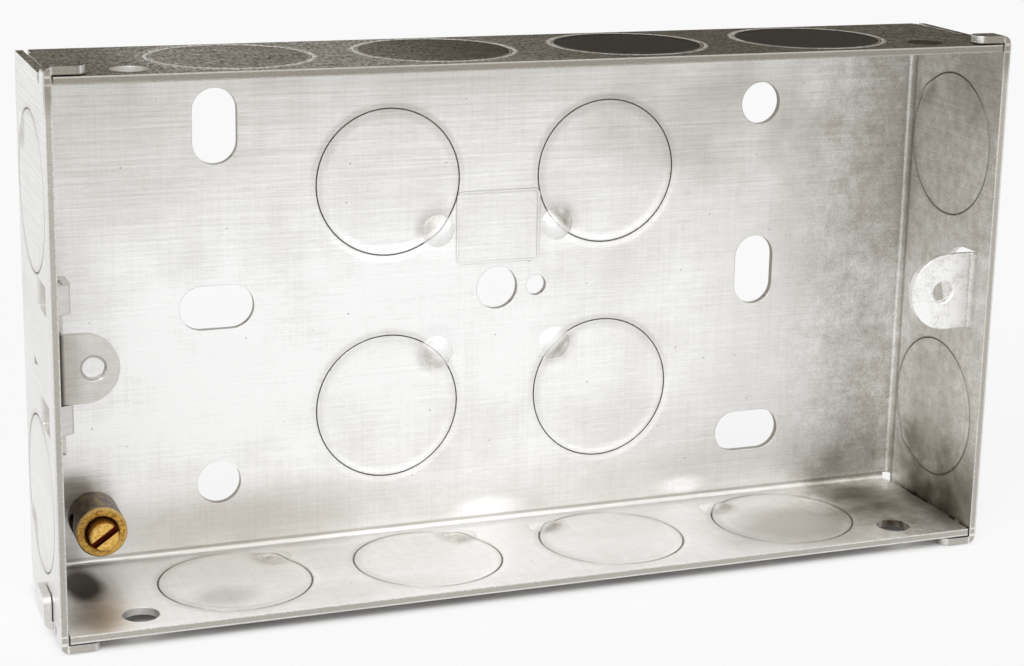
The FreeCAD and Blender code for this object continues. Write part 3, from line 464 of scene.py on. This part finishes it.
# noise on the sheet laid flat: stretch along, across and between walls, detail, roughness, twist
flatMarks = {
    "streaks": ((0.045, 2.6, 1.0), 4.0, 0.62, 0.0),     # rolling marks, along the sheet
    "fine": ((0.4, 8.0, 1.0), 3.0, 0.6, 0.0),
    "crossed": ((2.2, 0.06, 1.0), 3.0, 0.6, 0.0),       # wiping marks, across it
    "clouds": ((0.05, 0.08, 1.0), 5.0, 0.6, 0.5),
    "pitted": ((2.4, 0.8, 1.0), 5.0, 0.7, 0.0),
}
# noise in space: scale, detail, roughness
solidMarks = {
    "mottle": (0.55, 4.0, 0.65),
    "grain": (5.5, 2.0, 0.6),
    "drift": (0.085, 2.0, 0.5),
}
# dots in the plating: scale, edge, and how few of the cells have one
speckMarks = (0.42, (0.075, 0.030), (0.62, 0.67))


def marksOnSheet(sheet, at):
    marks = {}
    for name, (stretch, *settings) in flatMarks.items():
        marks[name] = sheet.uneven(sheet.stretched(at["flat"], stretch), 1.0, *settings)
    for name, settings in solidMarks.items():
        marks[name] = sheet.uneven(at["where"], *settings)
    marks["specks"] = sheet.specks(at["where"], *speckMarks)
    return marks


zinc = {
    "name": "zincPlatedSheet",
    "warmth": (0.94, 1.0, 1.12),            # power of red, green and blue
    "metallic": 0.86, "roughness": 0.37, "specular": 0.12,
    "streakRough": 0.16, "mottleRough": 0.12,
    "dullMetallic": 0.18, "dullRoughness": 0.92,
    "darkest": 0.015, "lightest": 0.97,
    # painted light and shade: how bright the metal is made on each face, and elsewhere
    "faceLightAndShade": {
        "inPlate": 0.80, "inFloor": 0.89, "inRight": 0.64,
        "outLeft": 0.86, "onLug": 0.92, "inShade": 0.05,
    },
    "otherTone": 0.70,
    "holeCutShade": 0.20, "cutShare": 0.85,
    # soft areas of painted light and shade: centre, reach on each axis in mm, softness, and how
    # much lighter or darker
    "shadingPatches": [
        # the back plate, with a painted reflection bright in the middle
        ((-16, -1, -7), (60, 4, 26), 1.05, 0.18),
        ((-46, -1, -10), (24, 4, 18), 1.0, 0.10),
        # darker towards the right, and along the top
        ((66, -1, 14), (34, 4, 40), 1.1, -0.14),
        ((57, -1, 15), (12, 3, 10), 0.7, -0.06),
        ((47, -1, 18), (9, 3, 8), 0.8, -0.06),
        ((62, -1, -1), (9, 3, 3.2), 0.7, 0.02),
        ((61, -1, -29), (7, 3, 5), 0.8, -0.02),
        ((61, -1, -28), (1.3, 3, 1.1), 0.9, -0.12),
        ((-56, -1, 26), (30, 3, 14), 1.0, -0.14),
        ((33, -1, 24), (24, 3, 11), 1.0, -0.21),
        ((-4, -1, 32), (60, 3, 10), 1.0, -0.14),
        # a painted grey reflection above the bottom fold, and painted shade round the earth
        # terminal
        ((-37, -1, -31), (28, 3, 6.5), 0.85, -0.27),
        ((-61, -1, -24.5), (4.0, 3, 3.4), 0.65, -0.45),
        ((22, -1, -32), (36, 3, 6), 1.0, -0.11),
        # bright reflections of the discs' edges
        ((-1, -1, -32.6), (5.5, 3, 1.7), 0.8, 0.20),
        ((30, -1, -32.4), (4.5, 3, 1.5), 0.8, 0.22),
        # the bottom wall, with painted shade at its ends
        ((-60.6, -8, -35.5), (3.2, 9, 2.4), 0.6, -0.84),
        ((-61, -20, -35.5), (4.5, 7, 2.4), 0.9, -0.42),
        ((-43, -17.5, -34.8), (5.5, 4, 2), 0.9, -0.22),
        ((-26, -21, -34.8), (18, 4, 2), 0.9, -0.06),
        # a painted highlight along its fold
        ((-10, -2.4, -34.8), (56, 1.8, 2), 0.5, 0.10),
        # its right part, in painted shade, and painted light below the earth terminal
        ((44, -16, -34.8), (17, 13, 2), 1.0, -0.36),
        ((-55.5, -3, -35), (4, 2.6, 2), 0.9, 0.16),
        ((62, -11, -37), (14, 18, 11), 0.9, -0.28),
        ((56, -10, -35.5), (9, 11, 2.2), 0.8, -0.44),
        # the right wall, with painted light beside its fold and painted shade at both ends
        ((65, -4, -8), (3, 4, 18), 0.9, 0.12),
        ((65, -14, 4), (3, 9, 6), 1.0, 0.06),
        ((65, -12, -19), (3, 12, 9), 0.9, -0.10),
        ((65, -19, -34), (3.5, 18, 14), 1.0, -0.36),
        ((65, -19, 31), (3, 10, 9), 1.0, -0.20),
    ],
    # a patch ends at this share of its reach, unevenly, and leaves a trace outside the box
    "patchEdge": 1.15, "patchDrift": 1.1, "patchMottle": 0.14, "trace": 0.15,
}


def faceTone(sheet, data, at, marks):
    tone = data["otherTone"]
    # each face takes its painted light or shade
    for face, level in data["faceLightAndShade"].items():
        tone = sheet.blend(at[face], tone, level)
    wander = sheet.add(sheet.times(marks["drift"], data["patchDrift"]),
                       sheet.times(marks["mottle"], data["patchMottle"]))
    changes = 0.0
    # painted light and shade, one soft area at a time
    for centre, reach, soft, change in data["shadingPatches"]:
        share = sheet.blob(at["where"], centre, reach, data["patchEdge"], soft, wander)
        changes = sheet.add(changes, sheet.times(share, change))
    inside = sheet.fade(at["isOutside"], 0.0, 1.0, 1.0, data["trace"])
    tone = sheet.add(tone, sheet.times(changes, inside))
    # the cut edges of the back plate's holes take painted shade
    return sheet.blend(sheet.times(at["onCut"], data["cutShare"]), tone, data["holeCutShade"])


# how strongly rolling and handling mark the metal; the streaks are stronger in the upper part
handling = {
    "streaks": (4.0, 26.0, 0.24, 0.62),     # from and to in mm, below and above
    "others": {"fine": 0.30, "crossed": 0.16, "clouds": 0.26, "mottle": 0.12, "grain": 0.16},
}


def handled(sheet, data, at, marks, tone):
    strength = sheet.fade(at["across"], *data["streaks"])
    change = sheet.add(1.0, sheet.times(marks["streaks"], strength))
    for name, amount in data["others"].items():
        change = sheet.add(change, sheet.times(marks[name], amount))
    return sheet.times(tone, change)


# tool marks round the discs, and painted light and shade there, by distance in mm from a disc's
# centre and from its tie
punchMarksAndShading = {
    "rolledShade": {"rise": (8.9, 10.1), "fall": (10.2, 10.6, 1.0, 0.0), "dark": 0.10},
    "pressed": {"tie": (1.2, 4.2, 1.0, 0.0), "ring": (10.4, 9.2), "dark": 0.36, "uneven": 3.0},
    "crownHighlight": {"tie": (2.0, 0.8), "ring": (9.0, 10.0), "light": 0.12},
    "lowLip": {"ring": (9.75, 0.18, 0.32), "above": (-3.0, -9.0), "light": 0.16},
    "highLip": {"ring": (10.6, 0.15, 0.45), "above": (-4.0, 8.0), "dark": 0.12},
    "cutLine": {"ring": (10.27, 0.06, 0.22), "dark": 0.42, "uneven": 1.2},
    "middle": (-0.1, 0.1),      # between the upper and the lower discs
}


def punched(sheet, data, at, marks, tone):
    ring, tie, mottle = at["ring"], at["tie"], marks["mottle"]
    # painted shade where a disc rolls down to its cut, and beside the dent over its tie
    rolledShade = data["rolledShade"]
    onRing = sheet.times(sheet.fade(ring, *rolledShade["rise"]), sheet.fade(ring, *rolledShade["fall"]))
    tone = sheet.darkened(tone, onRing, rolledShade["dark"])
    pressed = data["pressed"]
    creased = sheet.times(sheet.fade(tie, *pressed["tie"]), sheet.fade(ring, *pressed["ring"]))
    tone = sheet.darkened(tone, sheet.scaledBy(creased, mottle, pressed["uneven"]), pressed["dark"])
    # a painted highlight on the dome over the tie
    crownHighlight = data["crownHighlight"]
    onCrown = sheet.times(sheet.fade(tie, *crownHighlight["tie"]), sheet.fade(ring, *crownHighlight["ring"]))
    tone = sheet.add(tone, sheet.times(onCrown, crownHighlight["light"]))
    # a disc's lower lip catches light and its upper one is in shade; on the walls, front and back
    low, high = data["lowLip"], data["highLip"]
    centre = sheet.fade(at["z"], *data["middle"], -knockouts["backZ"], knockouts["backZ"])
    above = sheet.less(at["z"], centre)
    above = sheet.blend(at["inPlate"], sheet.less(at["y"], knockouts["depth"]), above)
    onLow = sheet.times(sheet.band(ring, *low["ring"]), sheet.fade(above, *low["above"]))
    onHigh = sheet.times(sheet.band(ring, *high["ring"]), sheet.fade(above, *high["above"]))
    lips = sheet.less(sheet.times(onLow, low["light"]), sheet.times(onHigh, high["dark"]))
    tone = sheet.add(tone, sheet.times(lips, tone))
    # on the walls the cut itself is a broken line
    cut = data["cutLine"]
    onCut = sheet.times(sheet.band(ring, *cut["ring"]), sheet.inverse(at["inPlate"]))
    broken = sheet.add(cut["dark"], sheet.times(mottle, cut["uneven"]))
    return sheet.times(tone, sheet.less(1.0, sheet.times(onCut, broken)))


# the outside of the top wall is dull, with painted shade that is darker to the right, and light
# rings round its discs
paintedShadeOnTop = {
    "x": (-30.0, 18.0), "left": 0.25, "right": 0.0825,
    "disc": (10.2, 10.0), "discX": (-56.0, 8.0), "discDark": 0.84,
    "end": (-60.0, -48.0, 0.55, 1.0),
    "pitted": 5.0, "mottle": 1.6,
    "ring": (10.45, 0.15, 0.55), "ringLight": 0.34,
    "faintRing": (11.5, 0.05, 0.5), "faintX": (-35.0, -45.0), "faintLight": 0.10,
    "ringPitted": 4.0,
}


def darkenedTop(sheet, data, at, marks, tone):
    x, ring, pitted = at["x"], at["ring"], marks["pitted"]
    # painted shade on the outside of the top wall
    dark = sheet.fade(x, *data["x"], data["left"], data["right"])
    inDisc = sheet.times(sheet.fade(ring, *data["disc"]), sheet.fade(x, *data["discX"]))
    dark = sheet.darkened(dark, inDisc, data["discDark"])
    dark = sheet.times(dark, sheet.fade(x, *data["end"]))
    speckle = sheet.times(marks["mottle"], data["mottle"])
    speckle = sheet.add(sheet.times(pitted, data["pitted"]), speckle)
    dark = sheet.times(dark, sheet.add(1.0, speckle))
    faint = sheet.times(sheet.band(ring, *data["faintRing"]), sheet.fade(x, *data["faintX"]))
    rings = sheet.add(sheet.times(sheet.band(ring, *data["ring"]), data["ringLight"]),
                      sheet.times(faint, data["faintLight"]))
    dark = sheet.add(dark, sheet.scaledBy(rings, pitted, data["ringPitted"]))
    return sheet.blend(at["outTop"], tone, dark)


# painted shade along the folds, and the coarse grain of the shaded walls
shaded = {
    "floorFold": (-33.95, 0.10, 0.25), "rightFold": (-2.15, 0.15, 0.35), "foldShade": 0.38,
    "coarseX": (42.0, 58.0), "coarse": 0.75,
    "speckDark": 0.5,
}


def shadedTone(sheet, data, at, marks, tone):
    # painted shade in the creases of the folds
    foldLine = sheet.most(sheet.times(sheet.band(at["z"], *data["floorFold"]), at["inPlate"]),
                          sheet.times(sheet.band(at["y"], *data["rightFold"]), at["inRight"]))
    tone = sheet.darkened(tone, foldLine, data["foldShade"])
    coarse = sheet.most(at["inRight"], sheet.fade(at["x"], *data["coarseX"]))
    uneven = sheet.times(sheet.add(marks["grain"], marks["mottle"]), coarse)
    tone = sheet.scaledBy(tone, uneven, data["coarse"])
    return sheet.darkened(tone, marks["specks"], data["speckDark"])


# sheared rims: a dull grey cut with a bright, broken burr on each side; the top one is darker
rim = {
    "tone": 0.44, "edgeTone": 0.80,
    "burr": (0.20, 0.04), "broken": 0.6, "lip": (0.26, 0.12), "grain": 0.5,
    "top": (30.0, 34.0, 1.0, 0.62),
}


def rimmed(sheet, data, at, marks, tone):
    wideX, highZ = sheet.size(at["x"]), sheet.size(at["z"])
    offOuter = sheet.nearest(wideX, box["outerX"], highZ, box["outerZ"])
    offInner = sheet.nearest(wideX, box["innerX"], highZ, box["innerZ"])
    offInner = sheet.add(offInner, sheet.times(marks["grain"], data["broken"]))
    edge = sheet.most(sheet.fade(offInner, *data["burr"]), sheet.fade(offOuter, *data["lip"]))
    cut = sheet.blend(edge, data["tone"], data["edgeTone"])
    cut = sheet.scaledBy(cut, marks["grain"], data["grain"])
    cut = sheet.times(cut, sheet.fade(at["z"], *data["top"]))
    return sheet.blend(at["onRim"], tone, cut)


# relief in mm: edges rounded, discs dished to their cut, then the grain
relief = {
    "edgeRadius": 0.18, "edgeSamples": 4,
    "dish": (8.8, 10.2), "dishDepth": 0.13, "cut": (10.2, 10.3),
    "roll": (11.4, 10.3), "rollDepth": -0.10,
    "tie": (4.5, 1.0), "tieDepth": 0.16,
    "marks": {"streaks": 0.035, "fine": 0.018, "mottle": 0.030, "specks": -0.03}, "strength": 0.8,
}


def reliefOf(sheet, data, at, marks):
    edges = sheet.node("ShaderNodeBevel", samples=data["edgeSamples"])
    edges.inputs["Radius"].default_value = data["edgeRadius"] * millimetre
    dish = sheet.times(sheet.fade(at["ring"], *data["dish"]), data["dishDepth"])
    roll = sheet.times(sheet.fade(at["ring"], *data["roll"]), data["rollDepth"])
    dished = sheet.blend(sheet.fade(at["ring"], *data["cut"]), dish, roll)
    dished = sheet.less(dished, sheet.times(sheet.fade(at["tie"], *data["tie"]), data["tieDepth"]))
    form = sheet.bump(dished, millimetre, 1.0, edges.outputs[0])
    parts = [sheet.times(marks[name], amount) for name, amount in data["marks"].items()]
    texture = sheet.add(*parts)
    return sheet.bump(texture, millimetre, data["strength"], form)


def makeZinc(data):
    sheet = NodeTree(data["name"])
    at = placeOnSheet(sheet)
    marks = marksOnSheet(sheet, at)
    tone = faceTone(sheet, data, at, marks)
    tone = handled(sheet, handling, at, marks, tone)
    tone = punched(sheet, punchMarksAndShading, at, marks, tone)
    tone = darkenedTop(sheet, paintedShadeOnTop, at, marks, tone)
    tone = shadedTone(sheet, shaded, at, marks, tone)
    tone = rimmed(sheet, rim, at, marks, tone)
    tone = sheet.most(sheet.maths("MINIMUM", tone, data["lightest"]), data["darkest"])
    sheet.surface("Base Color", sheet.grey(tone, data["warmth"]))
    sheet.surface("Metallic", sheet.blend(at["isDull"], data["metallic"], data["dullMetallic"]))
    sheet.surface("Specular IOR Level", data["specular"])
    rough = sheet.add(data["roughness"], sheet.times(marks["streaks"], data["streakRough"]),
                      sheet.times(marks["mottle"], data["mottleRough"]))
    sheet.surface("Roughness", sheet.blend(at["isDull"], rough, data["dullRoughness"]))
    sheet.surface("Normal", reliefOf(sheet, relief, at, marks))
    return sheet.material


# the earth terminal's axis in mm, across and up
terminalAxis = (-57.6, -27.8)

# the brass pillar; noises are scale, detail, roughness, and the rest is in mm
earthPost = {
    "faceY": (-7.35, -7.7),
    "grainNoise": (3.2, 4.0, 0.7), "bitsNoise": (9.0, 2.0, 0.7),
    "tarnishStretch": (0.9, 0.35, 0.9), "tarnishNoise": (1.0, 3.0, 0.6),
    "turnedStretch": (0.25, 9.0, 0.25), "turnedNoise": (1.0, 2.0, 0.6),
    "barrel": (0.205, 0.122, 0.024), "barrelDark": (0.036, 0.020, 0.005),
    "face": (0.62, 0.375, 0.085), "faceDark": (0.26, 0.115, 0.018),
    "faceBright": (0.86, 0.62, 0.25), "inside": (0.10, 0.040, 0.008),
    "metallic": 0.90, "roughness": 0.36, "unevenRough": 0.35,
    "tarnish": (0.38, 0.66), "lean": 0.5, "lower": (1.5, -3.0), "lowerShare": 0.75,
    "crumbs": (0.56, 0.40), "sparks": (0.60, 0.68),
    "edge": (3.0, 3.3), "edgeShare": 0.45,      # radius of the painted highlight on the edge
    "bore": (2.32, 2.12), "boreShare": 0.85,    # radius of the painted shade in the bore
    "turned": 0.03, "crumbed": 0.07, "strength": 0.9,   # relief
}


def makePostBrass(data):
    sheet = NodeTree("turnedBrass")
    where = sheet.millimetres()[0]
    x, y, z = sheet.split(where)
    fromX, fromZ = sheet.less(x, terminalAxis[0]), sheet.less(z, terminalAxis[1])
    out = sheet.diagonal(fromX, fromZ)
    grain = sheet.noise(where, *data["grainNoise"])
    bits = sheet.noise(where, *data["bitsNoise"])
    tarnish = sheet.noise(sheet.stretched(where, data["tarnishStretch"]), *data["tarnishNoise"])
    # turned side, tarnished unevenly, with painted shade to the left and below
    lower = sheet.fade(sheet.add(fromX, sheet.times(fromZ, data["lean"])), *data["lower"])
    side = sheet.mixed(sheet.fade(tarnish, *data["tarnish"]), data["barrelDark"], data["barrel"])
    side = sheet.mixed(sheet.times(lower, data["lowerShare"]), side, data["barrelDark"])
    # sawn front face: golden, with dark crumbs, bright sparks and a painted highlight on its edge
    face = sheet.mixed(sheet.fade(grain, *data["crumbs"]), data["face"], data["faceDark"])
    face = sheet.mixed(sheet.fade(bits, *data["sparks"]), face, data["faceBright"])
    edge = sheet.fade(out, *data["edge"])
    face = sheet.mixed(sheet.times(edge, data["edgeShare"]), face, data["faceBright"])
    onFace = sheet.fade(y, *data["faceY"])
    colour = sheet.mixed(onFace, side, face)
    # painted shade in the bore
    inBore = sheet.fade(out, *data["bore"])
    colour = sheet.mixed(sheet.times(inBore, data["boreShare"]), colour, data["inside"])
    sheet.surface("Base Color", colour)
    sheet.surface("Metallic", data["metallic"])
    uneven = sheet.times(sheet.less(grain, 0.5), data["unevenRough"])
    sheet.surface("Roughness", sheet.add(data["roughness"], uneven))
    # turning lines round the side, crumbs on the face
    turned = sheet.noise(sheet.stretched(where, data["turnedStretch"]), *data["turnedNoise"])
    turned, bits = sheet.times(turned, data["turned"]), sheet.times(bits, data["crumbed"])
    height = sheet.blend(onFace, turned, bits)
    sheet.surface("Normal", sheet.bump(height, millimetre, data["strength"]))
    return sheet.material


# the slotted screw, in mm; the slot's saw lines are stretched along it
earthScrew = {
    "faceY": (-9.65, -9.82),
    "grainNoise": (2.2, 4.0, 0.6), "linesNoise": (1.0, 3.0, 0.6), "linesStretch": (0.8, 7.0),
    "slotAngle": 35.0, "slotEdge": (0.50, 0.45),
    "slotFront": (-9.985, -9.93), "slotBack": (-8.8, -8.95),
    "face": (0.90, 0.60, 0.17), "faceDark": (0.68, 0.37, 0.07), "worn": (0.62, 0.38),
    "side": (0.42, 0.24, 0.05),
    "slot": (0.20, 0.022, 0.006), "slotDark": (0.075, 0.010, 0.004),
    "metallic": 0.88, "roughness": 0.30, "unevenRough": 0.25, "slotRoughness": 0.6,
    "grain": 0.05, "lines": 0.012, "strength": 0.7,     # relief
}


def makeScrewBrass(data):
    sheet = NodeTree("screwBrass")
    where = sheet.millimetres()[0]
    x, y, z = sheet.split(where)
    fromX, fromZ = sheet.less(x, terminalAxis[0]), sheet.less(z, terminalAxis[1])
    turn = math.radians(data["slotAngle"])
    offSlot = sheet.less(sheet.times(fromZ, math.cos(turn)), sheet.times(fromX, math.sin(turn)))
    alongSlot = sheet.add(sheet.times(fromX, math.cos(turn)), sheet.times(fromZ, math.sin(turn)))
    grain = sheet.noise(where, *data["grainNoise"])
    along, across = data["linesStretch"]
    sawn = sheet.joined(sheet.times(alongSlot, along), 0.0, sheet.times(offSlot, across))
    lines = sheet.noise(sawn, *data["linesNoise"])
    face = sheet.mixed(sheet.fade(grain, *data["worn"]), data["face"], data["faceDark"])
    colour = sheet.mixed(sheet.fade(y, *data["faceY"]), data["side"], face)
    inSlot = sheet.times(sheet.fade(sheet.size(offSlot), *data["slotEdge"]),
                         sheet.fade(y, *data["slotFront"]), sheet.fade(y, *data["slotBack"]))
    colour = sheet.mixed(inSlot, colour, sheet.mixed(lines, data["slotDark"], data["slot"]))
    sheet.surface("Base Color", colour)
    sheet.surface("Metallic", data["metallic"])
    rough = sheet.add(data["roughness"], sheet.times(sheet.less(grain, 0.5), data["unevenRough"]))
    sheet.surface("Roughness", sheet.blend(inSlot, rough, data["slotRoughness"]))
    height = sheet.add(sheet.times(grain, data["grain"]), sheet.times(lines, data["lines"]))
    sheet.surface("Normal", sheet.bump(height, millimetre, data["strength"]))
    return sheet.material


def dress(name, material):
    for slot in nodes[name].material_slots:
        slot.material = material


# the adjustable lug is of a smoother, slightly darker sheet, with painted shade at its root by the
# wall
lugSteel = dict(zinc, name="brushedLugSteel", otherTone=0.62, roughness=0.34, shadingPatches=[
    ((-64, -20.5, -1.3), (3.2, 2, 8), 0.8, -0.14),
])

boxMaterial, lugMaterial = makeZinc(zinc), makeZinc(lugSteel)
dress("box_shell", boxMaterial)
dress("adjustable_lug", lugMaterial)
dress("earth_terminal_post", makePostBrass(earthPost))
dress("earth_terminal_screw", makeScrewBrass(earthScrew))
print("materials on")


def addPiece(name, points, faces, material, body, isSmooth=None):
    # points in mm; isSmooth says of a face whether it is shaded smooth
    mesh = bpy.data.meshes.new(name)
    mesh.from_pydata([tuple(v * millimetre for v in point) for point in points], [], faces)
    mesh.validate()
    if isSmooth:
        mesh.polygons.foreach_set("use_smooth", [isSmooth(face) for face in mesh.polygons])
    mesh.materials.append(material)
    piece = bpy.data.objects.new(name, mesh)
    bpy.context.scene.collection.objects.link(piece)
    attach(piece, body)


# pressed dimples over the ties, in mm
dimple = {
    "height": 0.38, "reach": 2.8, "sink": 0.03,     # sunk, so that the dome has no edge of its own
    "rings": 12, "sides": 40,
}


def quarters():
    return [(side, level) for side in (-1, 1) for level in (-1, 1)]


def dimplePlaces():
    # middle of each tie on the inner face, and the way it stands out of the sheet
    backX, backZ = knockouts["backX"] - toTie, knockouts["backZ"] - toTie
    wallY, endZ = knockouts["depth"] + toTie, knockouts["endZ"] + toTie
    places = []
    for side, level in quarters():
        places.append(((side * backX, box["plateY"], level * backZ), (0, -1, 0)))
        for middle in (knockouts["innerX"] - toTie, knockouts["outerX"] - toTie):
            places.append(((side * middle, wallY, level * box["innerZ"]), (0, 0, -level)))
        places.append(((side * box["innerX"], wallY, level * endZ), (-side, 0, 0)))
    return places


def domeMesh(data):
    # a low closed dome round its own Z
    points, faces = [(0, 0, data["height"])], []
    for ring in range(1, data["rings"] + 1):
        share = ring / data["rings"]
        radius = data["reach"] * share
        high = (data["height"] + data["sink"]) * (1 + math.cos(math.pi * share)) / 2 - data["sink"]
        for side in range(data["sides"]):
            turn = 2 * math.pi * side / data["sides"]
            points.append((radius * math.cos(turn), radius * math.sin(turn), high))
    for side in range(data["sides"]):
        after = (side + 1) % data["sides"]
        faces.append((0, 1 + side, 1 + after))
        for ring in range(data["rings"] - 1):
            low, high = 1 + ring * data["sides"], 1 + (ring + 1) * data["sides"]
            faces.append((low + side, high + side, high + after, low + after))
    last = 1 + (data["rings"] - 1) * data["sides"]
    faces.append(tuple(last + side for side in reversed(range(data["sides"]))))
    return points, faces


def addDimples(data, material):
    points, faces = domeMesh(data)
    allPoints, allFaces = [], []
    for middle, outward in dimplePlaces():
        turn = Vector(outward).to_track_quat("Z", "Y")
        first = len(allPoints)
        allPoints += [turn @ Vector(point) + Vector(middle) for point in points]
        allFaces += [tuple(first + corner for corner in face) for face in faces]
    # all of a dome is smooth but its flat underside
    addPiece("knockout_dimples", allPoints, allFaces, material, "box",
             lambda face: len(face.vertices) < 5)


addDimples(dimple, boxMaterial)
print("dimples on")

# dull seams in the shear cuts round the discs, in mm
seam = {
    "inner": 10.09, "outer": 10.41,     # a little into the metal on each side of the cut
    "front": 0.30, "back": 0.72,        # below the inner face
    "sides": 96,
    "tone": (0.17, 0.16, 0.145), "lighter": 2.8,
    "metallic": 0.7, "roughness": 0.45, "unevenRough": 0.3,
    "grainNoise": (4.0, 3.0, 0.6), "lightFrom": (0.45, 0.75), "relief": 0.05, "strength": 0.8,
}


def knockoutPlaces():
    # centre of each disc on the inner face, and the two ways across it
    backX, backZ, endZ = (knockouts[name] for name in ("backX", "backZ", "endZ"))
    wallY = knockouts["depth"]
    places = []
    for side, level in quarters():
        places.append(((side * backX, box["plateY"], level * backZ), (1, 0, 0), (0, 0, 1)))
        for middle in (knockouts["innerX"], knockouts["outerX"]):
            centre = (side * middle, wallY, level * box["innerZ"])
            places.append((centre, (1, 0, 0), (0, -level, 0)))
        places.append(((side * box["innerX"], wallY, level * endZ), (0, side, 0), (0, 0, -1)))
    return places


def addSeams(data, material):
    points, faces = [], []
    profile = ((data["inner"], data["front"]), (data["outer"], data["front"]),
               (data["outer"], data["back"]), (data["inner"], data["back"]))
    for centre, first, second in knockoutPlaces():
        centre, first, second = Vector(centre), Vector(first), Vector(second)
        away = second.cross(first)           # from the inner face into the sheet
        start = len(points)
        for side in range(data["sides"]):
            turn = 2 * math.pi * side / data["sides"]
            outward = first * math.cos(turn) + second * math.sin(turn)
            points += [centre + outward * radius + away * depth for radius, depth in profile]
        for side in range(data["sides"]):
            here, after = start + 4 * side, start + 4 * ((side + 1) % data["sides"])
            for corner in range(4):
                beside = (corner + 1) % 4
                faces.append((here + corner, here + beside, after + beside, after + corner))
    addPiece("knockout_seams", points, faces, material, "box")


def makeSeamMetal(data):
    sheet = NodeTree("shearedSeam")
    where = sheet.millimetres()[0]
    grain = sheet.noise(where, *data["grainNoise"])
    light = tuple(min(1.0, data["lighter"] * part) for part in data["tone"])
    isLight = sheet.fade(grain, *data["lightFrom"])
    sheet.surface("Base Color", sheet.mixed(isLight, data["tone"], light))
    sheet.surface("Metallic", data["metallic"])
    rough = sheet.add(data["roughness"], sheet.times(grain, data["unevenRough"]))
    sheet.surface("Roughness", rough)
    sheet.surface("Normal", sheet.bump(grain, data["relief"] * millimetre, data["strength"]))
    return sheet.material


addSeams(seam, makeSeamMetal(seam))
print("seams on")

# threads of the two lugs, in mm
lugThread = {
    "root": 1.52, "crest": 1.33, "halfWidth": 0.20, "crestHalf": 0.03,
    "pitch": 0.60, "turns": 0.95, "sides": 56, "runOut": 6,
    "places": {"fixed_lug_thread": ((60.3, -20.5, 0.0), "box", "zinc_steel"),
               "adjustable_lug_thread": ((-60.3, -20.5, -1.3), "lug", "lug_steel")},
}


def addThread(name, data, material):
    centre, body, slot = data["places"][name]
    count = int(data["sides"] * data["turns"])
    profile = ((data["root"], -data["halfWidth"]), (data["crest"], -data["crestHalf"]),
               (data["crest"], data["crestHalf"]), (data["root"], data["halfWidth"]))
    points, faces = [], []
    for step in range(count + 1):
        turn = 2 * math.pi * step / data["sides"]
        rise = data["pitch"] * (step / data["sides"] - data["turns"] / 2)
        # the thread runs out at both faces
        fade = min(1.0, step / data["runOut"], (count - step) / data["runOut"])
        for radius, beside in profile:
            deep = data["root"] + (radius - data["root"]) * fade
            points.append((centre[0] + deep * math.cos(turn), centre[1] + rise + beside,
                           centre[2] + deep * math.sin(turn)))
    for step in range(count):
        here, after = 4 * step, 4 * step + 4
        for corner in range(4):
            beside = (corner + 1) % 4
            faces.append((here + corner, after + corner, after + beside, here + beside))
    faces.append((0, 1, 2, 3))
    faces.append(tuple(reversed(range(4 * count, 4 * count + 4))))
    addPiece(name, points, faces, material, body, lambda face: True)


for threadName in lugThread["places"]:
    addThread(threadName, lugThread, lugMaterial)
print("threads on")

scene = bpy.context.scene
scene.view_settings.view_transform = "Standard"
